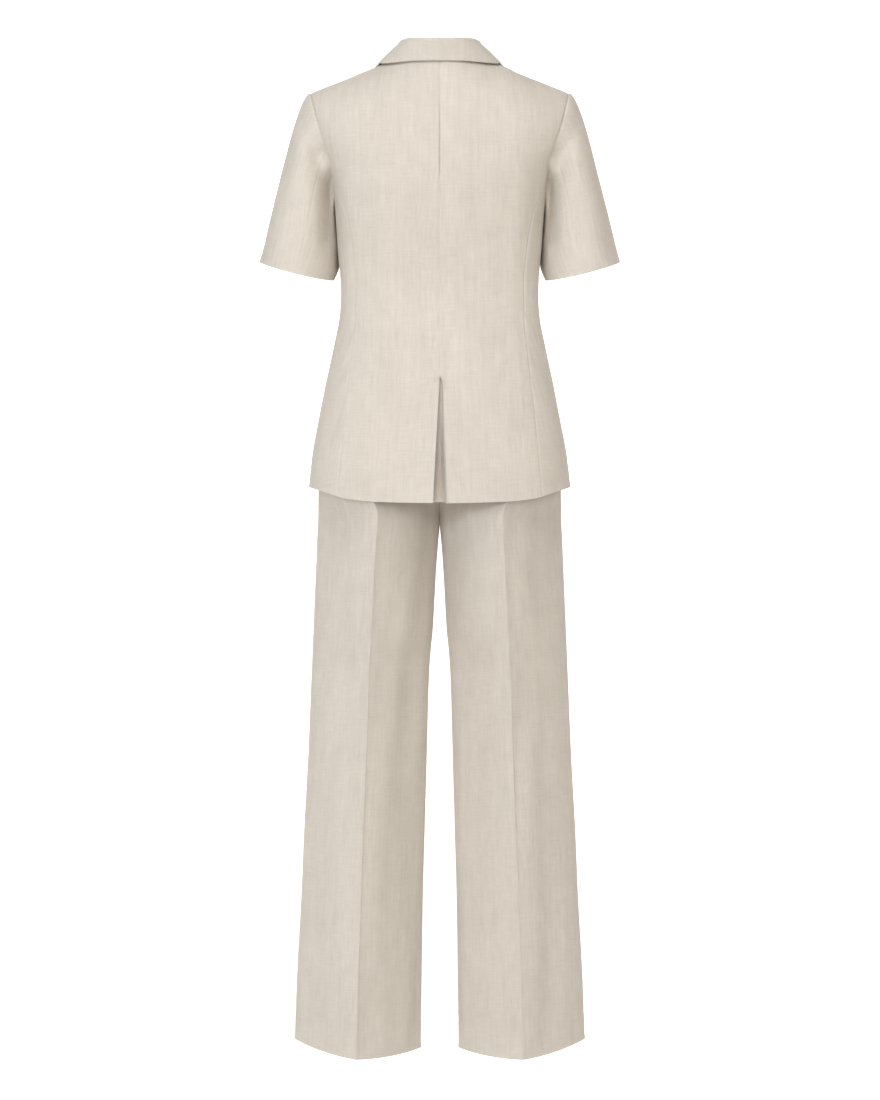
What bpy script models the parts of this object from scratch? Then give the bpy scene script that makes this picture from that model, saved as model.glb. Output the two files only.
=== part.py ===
"""A women's suit in its worn shape with no wearer: short-sleeved blazer, wide-leg trousers.

Metres, +Z up. The front of the wearer faces -Y and the wearer's left is +X. The origin is
the place between the shoulders, at the height of the side neck points, where the wearer
holds the suit up. Every panel is a wall of cloth between an outer grid of points and the
same grid moved inwards; neighbouring panels share their seam's points, pulled a little apart.
"""
import math

import bmesh
import bpy
import numpy as np
from mathutils import Vector

# Cloth
CLOTH = 0.0018  # wall of every panel
SEAM = 0.0003  # gap between two panels at a seam
RIM = 0.55 * SEAM  # how far each panel's border is drawn back
WEAK_SHARE = 0.55  # below this share of their count, the faces at a seam face each other
LIE = 0.0007  # gap under a layer that lies on a panel
LAPEL_LIE = 0.0012  # the same under a lapel, which spans more curve

# Blazer, in heights above the origin and distances from the centre line
HEM_CENTRE = -0.6420
HEM_SIDE = -0.6160
VENT_TOP = -0.4575
VENT_LEFT = 0.0098  # how far the vent's upper edge swings aside at the hem
VENT_RIGHT = -0.0085
VENT_OVERLAP = 0.018
VENT_DEPTH = 0.0137
VENT_INSET_LOW, VENT_INSET_TOP = 0.003, 0.006  # the underlap ends short of hem and vent top
VENT_SINK_FROM, VENT_SINK_OVER = 0.10, 0.75  # share of the vent below which it sinks inwards
VENT_SINK_SIDE, VENT_SINK_WIDTH = 0.006, 0.010
ARM_JOIN = -0.1780  # where the side panels' seams run into the armhole
ARM_CENTRE = -0.1650
ARM_LOW = -0.2050  # bottom of the armhole
SIDE_RISE = 0.012  # at the side, the row level with the vent's top lies this much higher
TIP_X, TIP_Z = 0.1890, -0.0378  # end of the shoulder seam
NECK_X, NECK_Y = 0.0700, 0.0550
NECK_ROUNDS = 8  # rounds in which the neck seam settles on the body's surface
SHOULDER_ROUND = 0.070  # height over which the shoulders round off
ROUNDNESS = 2.5
TOP_REACH, HEM_REACH = 0.55, 0.35  # share of a panel's height that its top and hem shape
TURN_REACH = 0.020  # half the height over which the straight front turns into the roll line
BREAK_Z = -0.3250  # where the lapels start to turn
FRONT_LAP = 0.0150  # each front's reach past the centre line
FRONT_CORNER = 0.040
LAP_LIFT = CLOTH + LAPEL_LIE  # the upper front lies over the lower one
LAP_FADE_X, LAP_FADE_Z = 0.050, 0.060  # where the upper front comes back to the body
LAP_RAMP_X, LAP_RAMP_Z = 0.032, 0.030  # width and height over which it does so
BUTTON_Z = -0.3420
BUTTON_RADIUS, BUTTON_THICK = 0.0105, 0.0032

TORSO_NAMES = "height half_width back front"
TORSO_ROWS = [
    (-0.6600, 0.1935, 0.1330, 0.1200),
    (-0.6160, 0.1915, 0.1310, 0.1190),
    (-0.5730, 0.1874, 0.1280, 0.1160),
    (-0.5200, 0.1786, 0.1200, 0.1120),
    (-0.4670, 0.1683, 0.1100, 0.1090),
    (-0.4150, 0.1566, 0.0970, 0.1050),
    (-0.3620, 0.1463, 0.0860, 0.1000),
    (-0.3350, 0.1447, 0.0830, 0.1000),
    (-0.3100, 0.1455, 0.0850, 0.1030),
    (-0.2760, 0.1485, 0.0920, 0.1100),
    (-0.2130, 0.1530, 0.1050, 0.1250),
    (-0.1680, 0.1605, 0.1100, 0.1240),
    (-0.1235, 0.1800, 0.1080, 0.1100),
    (-0.0850, 0.1970, 0.1020, 0.0940),
    (-0.0400, 0.2080, 0.0920, 0.0780),
    (0.0500, 0.2150, 0.0750, 0.0600),
]
SHOULDER_NAMES = "x height"
SHOULDER_ROWS = [(0.0, 0.0448), (0.040, 0.0282), (0.070, 0.0120), (0.0951, 0.0000), (0.189, -0.0378)]
HEM_NAMES = "x height"
HEM_ROWS = [
    (0.0, HEM_CENTRE),
    (0.090, -0.6395),
    (0.133, -0.6350),
    (0.176, -0.6215),
    (0.192, HEM_SIDE),
]
BACK_EDGE_NAMES = "height x"
BACK_EDGE_ROWS = [
    (-0.6400, 0.1490),
    (-0.5200, 0.1385),
    (-0.4400, 0.1300),
    (-0.3650, 0.1235),
    (-0.3146, 0.1230),
    (-0.2810, 0.1260),
    (-0.2510, 0.1300),
    (-0.2205, 0.1360),
    (-0.1870, 0.1495),
    (ARM_JOIN, 0.1535),
    (-0.1680, 0.1560),
    (-0.1410, 0.1600),
    (-0.1235, 0.1660),
    (-0.0850, 0.1790),
    (TIP_Z, TIP_X),
]
FRONT_EDGE_NAMES = "height x"
FRONT_EDGE_ROWS = [
    (-0.6400, 0.1400),
    (-0.5200, 0.1280),
    (-0.4400, 0.1180),
    (-0.3350, 0.1120),
    (-0.2500, 0.1250),
    (-0.2000, 0.1430),
    (ARM_JOIN, 0.1505),
    (-0.1500, 0.1530),
    (-0.1150, 0.1590),
    (-0.0750, 0.1740),
    (TIP_Z, TIP_X),
]

# Collar, from the centre back (share 0) over the shoulder to the gorge (share 1)
COLLAR_NAMES = "share fold_x fold_y fold_z edge_x edge_z"
COLLAR_RIDGE = 0.5
COLLAR_ROWS = [
    (0.00, 0.0000, 0.0530, 0.0350, 0.0000, -0.0022),
    (0.15, 0.0250, 0.0480, 0.0355, 0.0350, -0.0018),
    (0.30, 0.0438, 0.0320, 0.0378, 0.0675, -0.0022),
    (0.40, 0.0518, 0.0150, 0.0386, 0.0822, -0.0010),
    (COLLAR_RIDGE, 0.0573, -0.0040, 0.0376, 0.0886, 0.0024),
    (0.65, 0.0595, -0.0320, 0.0240, 0.1000, -0.0110),
    (0.80, 0.0592, -0.0610, -0.0080, 0.1040, -0.0310),
    (1.00, 0.0565, -0.0845, -0.0480, 0.0990, -0.0570),
]
COLLAR_TURN = 0.0032  # radius of the fold
COLLAR_BULGE, COLLAR_LIFT = 0.0005, 0.00025  # how far the fall bends outwards and upwards
GORGE_Z = -0.0530
LAPEL_NAMES = "share reach"
LAPEL_ROWS = [(0.0, 0.004), (0.25, 0.030), (0.6, 0.052), (1.0, 0.062)]
LAPEL_SLANT = (0.98, -0.10)  # direction from the roll line to the outer edge, x and z
LAPEL_POINT, LAPEL_POINT_DROP = 0.70, 0.012  # where the edge starts to drop to its point
LAPEL_FOOT, LAPEL_HEAD, LAPEL_ASIDE = 0.012, 0.002, 0.0015  # clear of break, gorge and roll line

# Sleeves
SLEEVE_OUT = (0.2650, -0.2837)  # outer corner of the hem, x and z
SLEEVE_IN = (0.1561, -0.3109)
SLEEVE_CENTRE_Y = -0.0100
SLEEVE_DEPTH = 0.0740  # half the sleeve's size from front to back
SLEEVE_BACK_DROP = 0.0100
SLEEVE_HEAD = (0.055, 0.0, 0.020)  # how the sleeve springs out from the shoulder
SLEEVE_HUG = (0.0092, 0.0240)  # how far the under sleeve leans to the body and to the front
SLEEVE_EASE = 1.25  # rows are closer together near the armhole
SLEEVE_FOLD_TURN = 0.035  # a fold fades out this near to the sleeve's side
SLEEVE_SPRING = (0.020, 0.0, 0.010)  # how the under sleeve springs out from the armhole
SLEEVE_FOLD_NAMES = "x0 z0 x1 z1 width depth"
SLEEVE_FOLD_ROWS = [
    (0.2040, -0.0820, 0.1790, -0.1320, 0.013, 0.0045),
    (0.1760, -0.1320, 0.1660, -0.1910, 0.014, 0.0070),
    (0.1600, -0.1700, 0.1560, -0.2550, 0.013, 0.0130),
]
SLEEVE_SEAM_BACK = 6  # steps down the armhole from the shoulder seam
SLEEVE_SEAM_FRONT = 5

# Trousers
WAIST_TOP, WAIST_LOW = -0.3650, -0.4000
HIP_LINE = -0.5600
CROTCH = -0.6630
LEG_HEM = -1.4325
LEG_SHAPE_TOP = -1.1500  # below it the rows bend into the shaped hem
LEG_HEM_TILT = 0.0065  # outer side of the hem is higher than the inner side
LEG_HEM_DROP = 0.0120  # back of the hem is lower than the front
CREASE_SHARP, CREASE_ROUND = 1.06, 0.76
PELVIS_NAMES = "height half_width back front"
PELVIS_ROWS = [
    (-0.3600, 0.1270, 0.0760, 0.0890),
    (-0.4000, 0.1360, 0.0860, 0.0940),
    (-0.4500, 0.1515, 0.0945, 0.0990),
    (-0.5000, 0.1630, 0.1030, 0.1020),
    (-0.5500, 0.1725, 0.1115, 0.1040),
    (-0.6000, 0.1770, 0.1145, 0.1050),
    (-0.7000, 0.1790, 0.1145, 0.1050),
]
LEG_NAMES = "height inner outer back front"
LEG_ROWS = [
    (-0.5600, 0.0000, 0.1780, 0.1160, 0.1000),
    (CROTCH, 0.0000, 0.1790, 0.1190, 0.0985),
    (-0.6940, 0.0024, 0.1804, 0.1165, 0.0975),
    (-0.7290, 0.0054, 0.1818, 0.1120, 0.0960),
    (-0.8000, 0.0098, 0.1848, 0.1040, 0.0935),
    (-0.9060, 0.0158, 0.1892, 0.0955, 0.0910),
    (-1.0110, 0.0186, 0.1936, 0.0905, 0.0895),
    (-1.1170, 0.0216, 0.1994, 0.0885, 0.0890),
    (-1.2230, 0.0245, 0.2039, 0.0880, 0.0895),
    (-1.3290, 0.0260, 0.2098, 0.0890, 0.0905),
    (-1.4450, 0.0275, 0.2141, 0.0900, 0.0915),
]
WAIST_BUTTON_RADIUS, WAIST_BUTTON_THICK = 0.0085, 0.0028
BUTTON_TAPER = 0.9  # a button's face, as a share of its back

# Grid steps
VENT_STEPS, BODY_STEPS, ARM_STEPS = 4, 10, 8
NECK_STEPS, SHOULDER_STEPS, SIDE_STEPS = 3, 5, 4
SLEEVE_STEPS, COLLAR_STEPS, LAPEL_STEPS, UNDERLAP_STEPS = 9, 9, 12, 6
STAND_STEPS, TURN_STEPS, FALL_STEPS, LAPEL_ACROSS = 2, 2, 3, 4
WAIST_STEPS, CROTCH_STEPS, LEG_STEPS, QUARTER_STEPS = 4, 5, 10, 8
BAND_STEPS, BUTTON_TURNS = 2, 24

LINEN = (0.76, 0.68, 0.58)
HORN = (0.50, 0.40, 0.30)


class Table:
    """Rows of named columns, read as a smooth curve over the first column."""

    def __init__(self, names, rows):
        values = np.array(sorted(rows), float).T
        self.keys = values[0]
        self.columns = dict(zip(names.split(), values))

    def at(self, name, key):
        keys, column = self.keys, self.columns[name]
        key = np.clip(key, keys[0], keys[-1])
        step = np.diff(keys)
        slope = np.diff(column) / step
        before, after = slope[:-1], slope[1:]
        product = before * after
        total = np.where(before + after == 0, 1.0, before + after)
        middle = np.where(product > 0, 2 * product / total, 0.0)
        tangent = np.concatenate([slope[:1], middle, slope[-1:]])
        i = np.clip(np.searchsorted(keys, key, side="right") - 1, 0, len(step) - 1)
        t = (key - keys[i]) / step[i]
        start = (1 + 2 * t) * (1 - t) ** 2 * column[i] + t * (1 - t) ** 2 * step[i] * tangent[i]
        end = t * t * (3 - 2 * t) * column[i + 1] + t * t * (t - 1) * step[i] * tangent[i + 1]
        return start + end


TORSO = Table(TORSO_NAMES, TORSO_ROWS)
SHOULDER = Table(SHOULDER_NAMES, SHOULDER_ROWS)
HEM = Table(HEM_NAMES, HEM_ROWS)
BACK_EDGE = Table(BACK_EDGE_NAMES, BACK_EDGE_ROWS)
FRONT_EDGE = Table(FRONT_EDGE_NAMES, FRONT_EDGE_ROWS)
COLLAR = Table(COLLAR_NAMES, COLLAR_ROWS)
LAPEL = Table(LAPEL_NAMES, LAPEL_ROWS)
PELVIS = Table(PELVIS_NAMES, PELVIS_ROWS)
LEG = Table(LEG_NAMES, LEG_ROWS)


def smooth(value):
    """An even ramp from 0 to 1."""
    value = np.clip(value, 0.0, 1.0)
    return value * value * (3 - 2 * value)


def unit(vectors):
    length = np.linalg.norm(vectors, axis=-1, keepdims=True)
    return vectors / np.maximum(length, 1e-12)


def stack(x, y, z):
    return np.stack(np.broadcast_arrays(np.asarray(x, float), y, z), axis=-1)


def mirrored(grid):
    """The same panel on the other side, its columns turned so that it still faces out."""
    other = grid[:, ::-1].copy()
    other[..., 0] *= -1
    return other


# Shape of the blazer's body

def flat_depth(x, z, side):
    """Distance of the body's surface from the X axis, before the shoulders round off."""
    depth = TORSO.at("back" if side > 0 else "front", z)
    share = np.clip(np.abs(x) / TORSO.at("half_width", z), 0, 1)
    return depth * (1 - share**ROUNDNESS) ** (1 / ROUNDNESS)


def torso_y(x, z, side):
    """Y of the body's surface; side is 1 for the back and -1 for the front."""
    rise = np.clip((SHOULDER.at("height", np.abs(x)) - z) / SHOULDER_ROUND, 0, 1)
    return side * flat_depth(x, z, side) * np.sqrt(1 - (1 - rise) ** 2)


def torso_point(x, z, side):
    return stack(x, torso_y(x, z, side), z)


def torso_normal(points, side):
    """Outward direction of the body's surface, from the slope of its equation."""
    def equation(p):
        x, y, z = p[..., 0], p[..., 1], p[..., 2]
        over = np.maximum(z - SHOULDER.at("height", np.abs(x)) + SHOULDER_ROUND, 0)
        depth = np.maximum(flat_depth(x, z, side), 1e-4)
        return (y / depth) ** 2 + (over / SHOULDER_ROUND) ** 2

    step = 1e-4
    slope = [
        equation(points + step * axis) - equation(points - step * axis)
        for axis in np.eye(3)
    ]
    return unit(np.stack(slope, axis=-1))


def above_torso(x, z, side, lift):
    """A point that lies over the body's surface by a given lift."""
    points = torso_point(x, z, side)
    return points + np.asarray(lift)[..., None] * torso_normal(points, side)


def body_rows(low, vent, join, top):
    """Heights from the hem over the vent's top and the armhole's join up to the shoulder."""
    steps = np.sin(np.linspace(0, math.pi / 2, ARM_STEPS + 1))[1:]
    return np.concatenate([
        np.linspace(low, vent, VENT_STEPS + 1),
        np.linspace(vent, join, BODY_STEPS + 1)[1:],
        join + (top - join) * steps,
    ])


def fill(edge_a, edge_b, top, bottom, weights):
    """Points x, z between two side edges, drawn to the given top and bottom edges."""
    w = weights[None, :, None]
    grid = (1 - w) * edge_a[:, None, :] + w * edge_b[:, None, :]
    share = np.linspace(0, 1, len(edge_a))[:, None, None]
    upper = smooth((share + TOP_REACH - 1) / TOP_REACH)
    lower = smooth((HEM_REACH - share) / HEM_REACH)
    return grid + upper * (top - grid[-1])[None] + lower * (bottom - grid[0])[None]


def shoulder_line():
    """The shoulder seam from its tip to the side neck point, as x and z."""
    x = np.linspace(TIP_X, NECK_X, SHOULDER_STEPS + 1)
    return np.stack([x, SHOULDER.at("height", x)], axis=-1)


def neck_seam(turn):
    """The back neck's x and z; turn runs from 0 at the centre back to a quarter at the side."""
    x = NECK_X * np.sin(turn)
    z = SHOULDER.at("height", x)
    for _ in range(NECK_ROUNDS):
        share = np.clip(NECK_Y * np.cos(turn) / flat_depth(x, z, 1), 0, 1)
        z = SHOULDER.at("height", x) - SHOULDER_ROUND * (1 - np.sqrt(1 - share**2))
    return x, z


def neck_line():
    """The back neck from the side neck point to the centre back, as x and z."""
    return np.stack(neck_seam(np.linspace(math.pi / 2, 0, NECK_STEPS + 1)), axis=-1)


def armhole_edge(table):
    low = HEM.at("height", table.at("x", HEM_CENTRE))
    z = body_rows(low, VENT_TOP + SIDE_RISE, ARM_JOIN, TIP_Z)
    return np.stack([table.at("x", z), z], axis=-1)


def back_panel(vent_swing):
    """Left back, columns from the side to the centre; the vent's edge swings aside."""
    side = armhole_edge(BACK_EDGE)
    top = np.concatenate([shoulder_line(), neck_line()[1:]])
    z = body_rows(HEM_CENTRE, VENT_TOP, ARM_CENTRE, top[-1, 1])
    x = vent_swing * np.clip((VENT_TOP - z) / (VENT_TOP - HEM_CENTRE), 0, 1)
    centre = np.stack([x, z], axis=-1)
    weights = 1 - top[:, 0] / TIP_X
    foot = (1 - weights) * side[0, 0] + weights * centre[0, 0]
    bottom = np.stack([foot, HEM.at("height", np.abs(foot))], axis=-1)
    bottom[0] = side[0]
    flat = fill(side, centre, top, bottom, weights)
    return torso_point(flat[..., 0], flat[..., 1], 1)


def corner_arc(distance):
    """Rise of the rounded front corner at a distance from the edge."""
    inside = np.clip(FRONT_CORNER - distance, 0, FRONT_CORNER)
    return FRONT_CORNER - np.sqrt(FRONT_CORNER**2 - inside**2)


def roll_x(z):
    """The roll line, on which the lapel turns over."""
    return NECK_X * (z - BREAK_Z) / (SHOULDER.at("height", NECK_X) - BREAK_Z)


def lap_share(x, z):
    """How far the upper front is lifted over the lower one: all the way where they lap."""
    return smooth((LAP_FADE_X - x) / LAP_RAMP_X) * smooth((BREAK_Z + LAP_FADE_Z - z) / LAP_RAMP_Z)


def front_panel(lift):
    """Left front, columns from the front edge to the side; the upper layer is lifted."""
    side = armhole_edge(FRONT_EDGE)
    top = shoulder_line()[::-1]
    foot_z = HEM.at("height", 0.0)
    cut = FRONT_CORNER * (1 - math.sqrt(0.5))
    z = body_rows(foot_z + cut, VENT_TOP, ARM_CENTRE, top[0, 1])
    straight = -FRONT_LAP + corner_arc(z - foot_z)
    blend = smooth((z - BREAK_Z + TURN_REACH) / (2 * TURN_REACH))
    edge = np.stack([(1 - blend) * straight + blend * roll_x(z), z], axis=-1)
    weights = (top[:, 0] - NECK_X) / (TIP_X - NECK_X)
    foot = (1 - weights) * edge[0, 0] + weights * side[0, 0]
    bottom = np.stack([foot, HEM.at("height", np.abs(foot)) + corner_arc(foot + FRONT_LAP)], axis=-1)
    bottom[0], bottom[-1] = edge[0], side[0]
    flat = fill(edge, side, top, bottom, weights)
    points = torso_point(flat[..., 0], flat[..., 1], -1)
    points[..., 1] -= lift * lap_share(flat[..., 0], flat[..., 1])
    return points


def side_panel():
    """Left side panel, columns from its front seam to its back seam."""
    front, back = armhole_edge(FRONT_EDGE), armhole_edge(BACK_EDGE)
    count = VENT_STEPS + BODY_STEPS + 1
    w = np.linspace(0, 1, SIDE_STEPS + 1)[None, :]
    rise = np.linspace(0, 1, count)[:, None]
    z_front, z_back = front[:count, 1:], back[:count, 1:]
    bow = 1 - (2 * w - 1) ** 2
    z = (1 - w) * z_front + w * z_back + bow * (ARM_LOW - ARM_JOIN) * rise**4

    def angle(edge):
        share = np.clip(edge[:count, :1] / TORSO.at("half_width", edge[:count, 1:]), 0, 1)
        return np.arcsin(share ** (ROUNDNESS / 2))

    hem = HEM.at("height", TORSO.at("half_width", z[:1]) * np.ones_like(z[:1]))
    z = z + bow * (hem - z[:1]) * smooth((HEM_REACH - rise) / HEM_REACH)
    turn = (1 - w) * (math.pi - angle(front)) + w * angle(back)
    x = TORSO.at("half_width", z) * np.abs(np.sin(turn)) ** (2 / ROUNDNESS)
    reach = np.abs(np.cos(turn)) ** (2 / ROUNDNESS)
    depth = np.where(turn < math.pi / 2, TORSO.at("back", z), -TORSO.at("front", z))
    points = stack(x, depth * reach, z)
    points[:, 0] = torso_point(front[:count, 0], front[:count, 1], -1)
    points[:, -1] = torso_point(back[:count, 0], back[:count, 1], 1)
    return points


def vent_underlap():
    """The right back's extension, which lies behind the vent's upper edge."""
    z = np.linspace(HEM_CENTRE + VENT_INSET_LOW, VENT_TOP - VENT_INSET_TOP, VENT_STEPS + 1)[:, None]
    open_share = (VENT_TOP - z) / (VENT_TOP - HEM_CENTRE)
    low, high = VENT_RIGHT * open_share, VENT_LEFT * open_share
    w = np.linspace(1, 0, UNDERLAP_STEPS + 1)[None, :]
    x = low - VENT_OVERLAP + w * (high - low + 2 * VENT_OVERLAP)
    inside = smooth((x - low + VENT_SINK_SIDE) / VENT_SINK_WIDTH)
    inside = inside * smooth((open_share - VENT_SINK_FROM) / VENT_SINK_OVER)
    return above_torso(x, z * np.ones_like(x), 1, -(CLOTH + LIE) - VENT_DEPTH * inside)


# Collar and lapels

def collar_half():
    """Left half of the collar: rows run from the neck seam over the fold to its edge."""
    share = np.linspace(0, 1, COLLAR_STEPS + 1)
    fold = np.stack([COLLAR.at(n, share) for n in ("fold_x", "fold_y", "fold_z")], axis=-1)
    edge_x, edge_z = COLLAR.at("edge_x", share), COLLAR.at("edge_z", share)
    back = share < COLLAR_RIDGE
    lift = CLOTH + LIE
    edge = np.where(
        back[:, None],
        above_torso(edge_x, edge_z, 1, lift),
        above_torso(edge_x, edge_z, -1, lift),
    )
    turn = np.clip(share / COLLAR_RIDGE, 0, 1) * math.pi / 2
    base_back = torso_point(*neck_seam(turn), 1)
    past = np.clip((share - COLLAR_RIDGE) / (1 - COLLAR_RIDGE), 0, 1)
    roll_z = SHOULDER.at("height", NECK_X) + past * (GORGE_Z - SHOULDER.at("height", NECK_X))
    base_front = torso_point(roll_x(roll_z), roll_z, -1)
    base = np.where(back[:, None], base_back, base_front)
    inward = unit(np.stack([base[:, 0], base[:, 1], 0 * base[:, 2]], axis=-1))
    base = base - inward * CLOTH + np.array([0, 0, 2 * SEAM])
    out = unit(edge - base)
    out[:, 2] = 0
    out = unit(out)
    up = np.array([0.0, 0.0, COLLAR_TURN])
    stand = fold - out * COLLAR_TURN - up
    rows = [base + (stand - base) * q for q in np.linspace(0, 1, STAND_STEPS + 1)]
    for angle in np.linspace(math.pi, 0, TURN_STEPS + 1)[1:]:
        rows.append(fold - up + out * COLLAR_TURN * math.cos(angle) + up * math.sin(angle))
    start = rows[-1]
    bend = out * COLLAR_BULGE + np.array([0.0, 0.0, COLLAR_LIFT])
    for q in np.linspace(0, 1, FALL_STEPS + 1)[1:]:
        rows.append(start + (edge - start) * q + bend * 4 * q * (1 - q))
    return np.array(rows)


def collar_panel():
    half = collar_half()
    return np.concatenate([half[:, ::-1], mirrored(half[:, ::-1])[:, 1:]], axis=1)


def lapel_panel(lift):
    """Left lapel, columns from the roll line outwards, lying on the front."""
    share = np.linspace(0, 1, LAPEL_STEPS + 1)
    z = np.linspace(BREAK_Z + LAPEL_FOOT, GORGE_Z - LAPEL_HEAD, LAPEL_STEPS + 1)
    roll = np.stack([roll_x(z) + LAPEL_ASIDE, z], axis=-1)
    reach = LAPEL.at("reach", share)
    outer = roll + np.array(LAPEL_SLANT) * reach[:, None]
    outer[:, 1] -= LAPEL_POINT_DROP * smooth((share - LAPEL_POINT) / (1 - LAPEL_POINT))
    w = np.linspace(0, 1, LAPEL_ACROSS + 1)[None, :, None]
    flat = (1 - w) * roll[:, None, :] + w * outer[:, None, :]
    points = above_torso(flat[..., 0], flat[..., 1], -1, CLOTH + LAPEL_LIE)
    points[..., 1] -= lift * lap_share(flat[..., 0], flat[..., 1])
    return points


# Sleeves

def trough(points, fold):
    """Shift towards the arm of a soft fold along a line of the sleeve's back and front."""
    start = np.array([fold["x0"], fold["z0"]])
    run = np.array([fold["x1"], fold["z1"]]) - start
    away = points[..., [0, 2]] - start
    along = np.clip(away @ run / (run @ run), 0, 1)
    distance = np.linalg.norm(away - along[..., None] * run, axis=-1)
    depth = fold["depth"] * np.exp(-((distance / fold["width"]) ** 2))
    side = np.sign(points[..., 1]) * smooth(np.abs(points[..., 1]) / SLEEVE_FOLD_TURN)
    return stack(0 * depth, side * depth, 0 * depth)


def armhole_ring():
    """The left armhole from the shoulder tip down the back, under the arm and up the front."""
    back, front, side = back_panel(0.0)[:, 0], front_panel(0.0)[:, -1], side_panel()[-1]
    down = back[::-1][: ARM_STEPS + 1]
    under = side[::-1][1:]
    up = front[-ARM_STEPS:-1]
    return np.concatenate([down, under, up])


def sleeve_tube():
    """Left sleeve, rows from its hem up to the armhole, columns round from the outer line."""
    ring = armhole_ring()
    step = np.linalg.norm(np.diff(np.vstack([ring, ring[:1]]), axis=0), axis=1)
    turn = 2 * math.pi * np.concatenate([[0], np.cumsum(step)[:-1]]) / step.sum()
    outer = np.array([SLEEVE_OUT[0], 0.0, SLEEVE_OUT[1]])
    inner = np.array([SLEEVE_IN[0], 0.0, SLEEVE_IN[1]])
    across = (outer - inner) / 2
    centre = (outer + inner) / 2 + np.array([0, SLEEVE_CENTRE_Y, 0])
    depth = np.array([0, SLEEVE_DEPTH, -SLEEVE_BACK_DROP])
    hem = centre + np.cos(turn)[:, None] * across + np.sin(turn)[:, None] * depth
    axis = unit(np.array([across[2], 0, -across[0]]))
    length = np.linalg.norm(hem - ring, axis=1)[:, None]
    head = ((1 + np.cos(turn)) / 2)[:, None] ** 2
    start = head * np.array(SLEEVE_HEAD) + (1 - head) * (axis * length + np.array(SLEEVE_SPRING))
    end = axis * length
    s = np.linspace(1, 0, SLEEVE_STEPS + 1)[:, None, None] ** SLEEVE_EASE
    tube = (
        (1 + 2 * s) * (1 - s) ** 2 * ring
        + s * (1 - s) ** 2 * start
        + s * s * (3 - 2 * s) * hem
        + s * s * (s - 1) * end
    )
    inner_side = ((1 - np.cos(turn)) / 2)[:, None] ** 2
    tube[..., :2] -= np.array(SLEEVE_HUG) * inner_side * 4 * s * (1 - s)
    for row in SLEEVE_FOLD_ROWS:
        tube -= trough(tube, dict(zip(SLEEVE_FOLD_NAMES.split(), row)))
    tube[-1] = ring
    return tube


def sleeve_panels():
    """The top sleeve over the outside of the arm and the under sleeve beneath it."""
    tube = sleeve_tube()
    count = tube.shape[1]
    back, front = SLEEVE_SEAM_BACK, count - SLEEVE_SEAM_FRONT
    over = [i % count for i in range(front, count + back + 1)]
    under = list(range(back, front + 1))
    return tube[:, over], tube[:, under]


# Trousers

def pelvis_point(t, z, side):
    """Left half of the hips; t runs from the side seam (0) to the centre (1)."""
    turn = (1 - t) * math.pi / 2
    x = PELVIS.at("half_width", z) * np.sin(turn) ** (2 / ROUNDNESS)
    y = PELVIS.at("back" if side > 0 else "front", z) * np.cos(turn) ** (2 / ROUNDNESS)
    return stack(np.where(t >= 1, 0.0, x), side * np.where(t <= 0, 0.0, y), z)


def leg_point(t, z, side):
    """Left leg's back or front half, with a pressed crease in its middle."""
    inner, outer = LEG.at("inner", z), LEG.at("outer", z)
    across = np.cos(math.pi * t)
    depth = LEG.at("back" if side > 0 else "front", z)
    reach = np.clip(1 - np.abs(across) ** CREASE_SHARP, 0, 1) ** CREASE_ROUND
    return stack((inner + outer) / 2 + across * (outer - inner) / 2, side * depth * reach, z)


def trouser_point(t, z, side):
    part = smooth((HIP_LINE - z) / (HIP_LINE - CROTCH))[..., None]
    return (1 - part) * pelvis_point(t, z, side) + part * leg_point(t, z, side)


def quarter_steps():
    """Steps from the side seam to the centre of the trousers."""
    return np.linspace(0, 1, QUARTER_STEPS + 1)


def trouser_panel(side):
    """Left back or front, columns from the side seam to the seat seam and inseam."""
    heights = np.concatenate([
        np.linspace(LEG_HEM, CROTCH, LEG_STEPS + 1),
        np.linspace(CROTCH, HIP_LINE, CROTCH_STEPS + 1)[1:],
        np.linspace(HIP_LINE, WAIST_LOW, WAIST_STEPS + 1)[1:],
    ])
    t = quarter_steps()[None, :] * np.ones((len(heights), 1))
    tilt = LEG_HEM_TILT * np.cos(math.pi * t) - side * LEG_HEM_DROP * np.sin(math.pi * t) ** 2
    near_hem = smooth((LEG_SHAPE_TOP - heights) / (LEG_SHAPE_TOP - LEG_HEM))[:, None]
    z = heights[:, None] + tilt * near_hem
    grid = trouser_point(t, z, side)
    return grid if side > 0 else grid[:, ::-1]


def waistband_panel():
    """One band round the waist, from the centre front round the back to the centre front."""
    z = np.linspace(WAIST_LOW, WAIST_TOP, BAND_STEPS + 1)[:, None]
    t = quarter_steps()[None, :]
    ones = np.ones((len(z), t.size))
    back = pelvis_point(t * ones, z * ones, 1)
    front = pelvis_point(t * ones, z * ones, -1)[:, ::-1]
    left = np.concatenate([front, back[:, 1:]], axis=1)
    return np.concatenate([left, mirrored(left)[:, 1:]], axis=1)


# Walls from grids

def spot(point):
    return tuple(np.round(point, 5) + 0.0)


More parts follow.
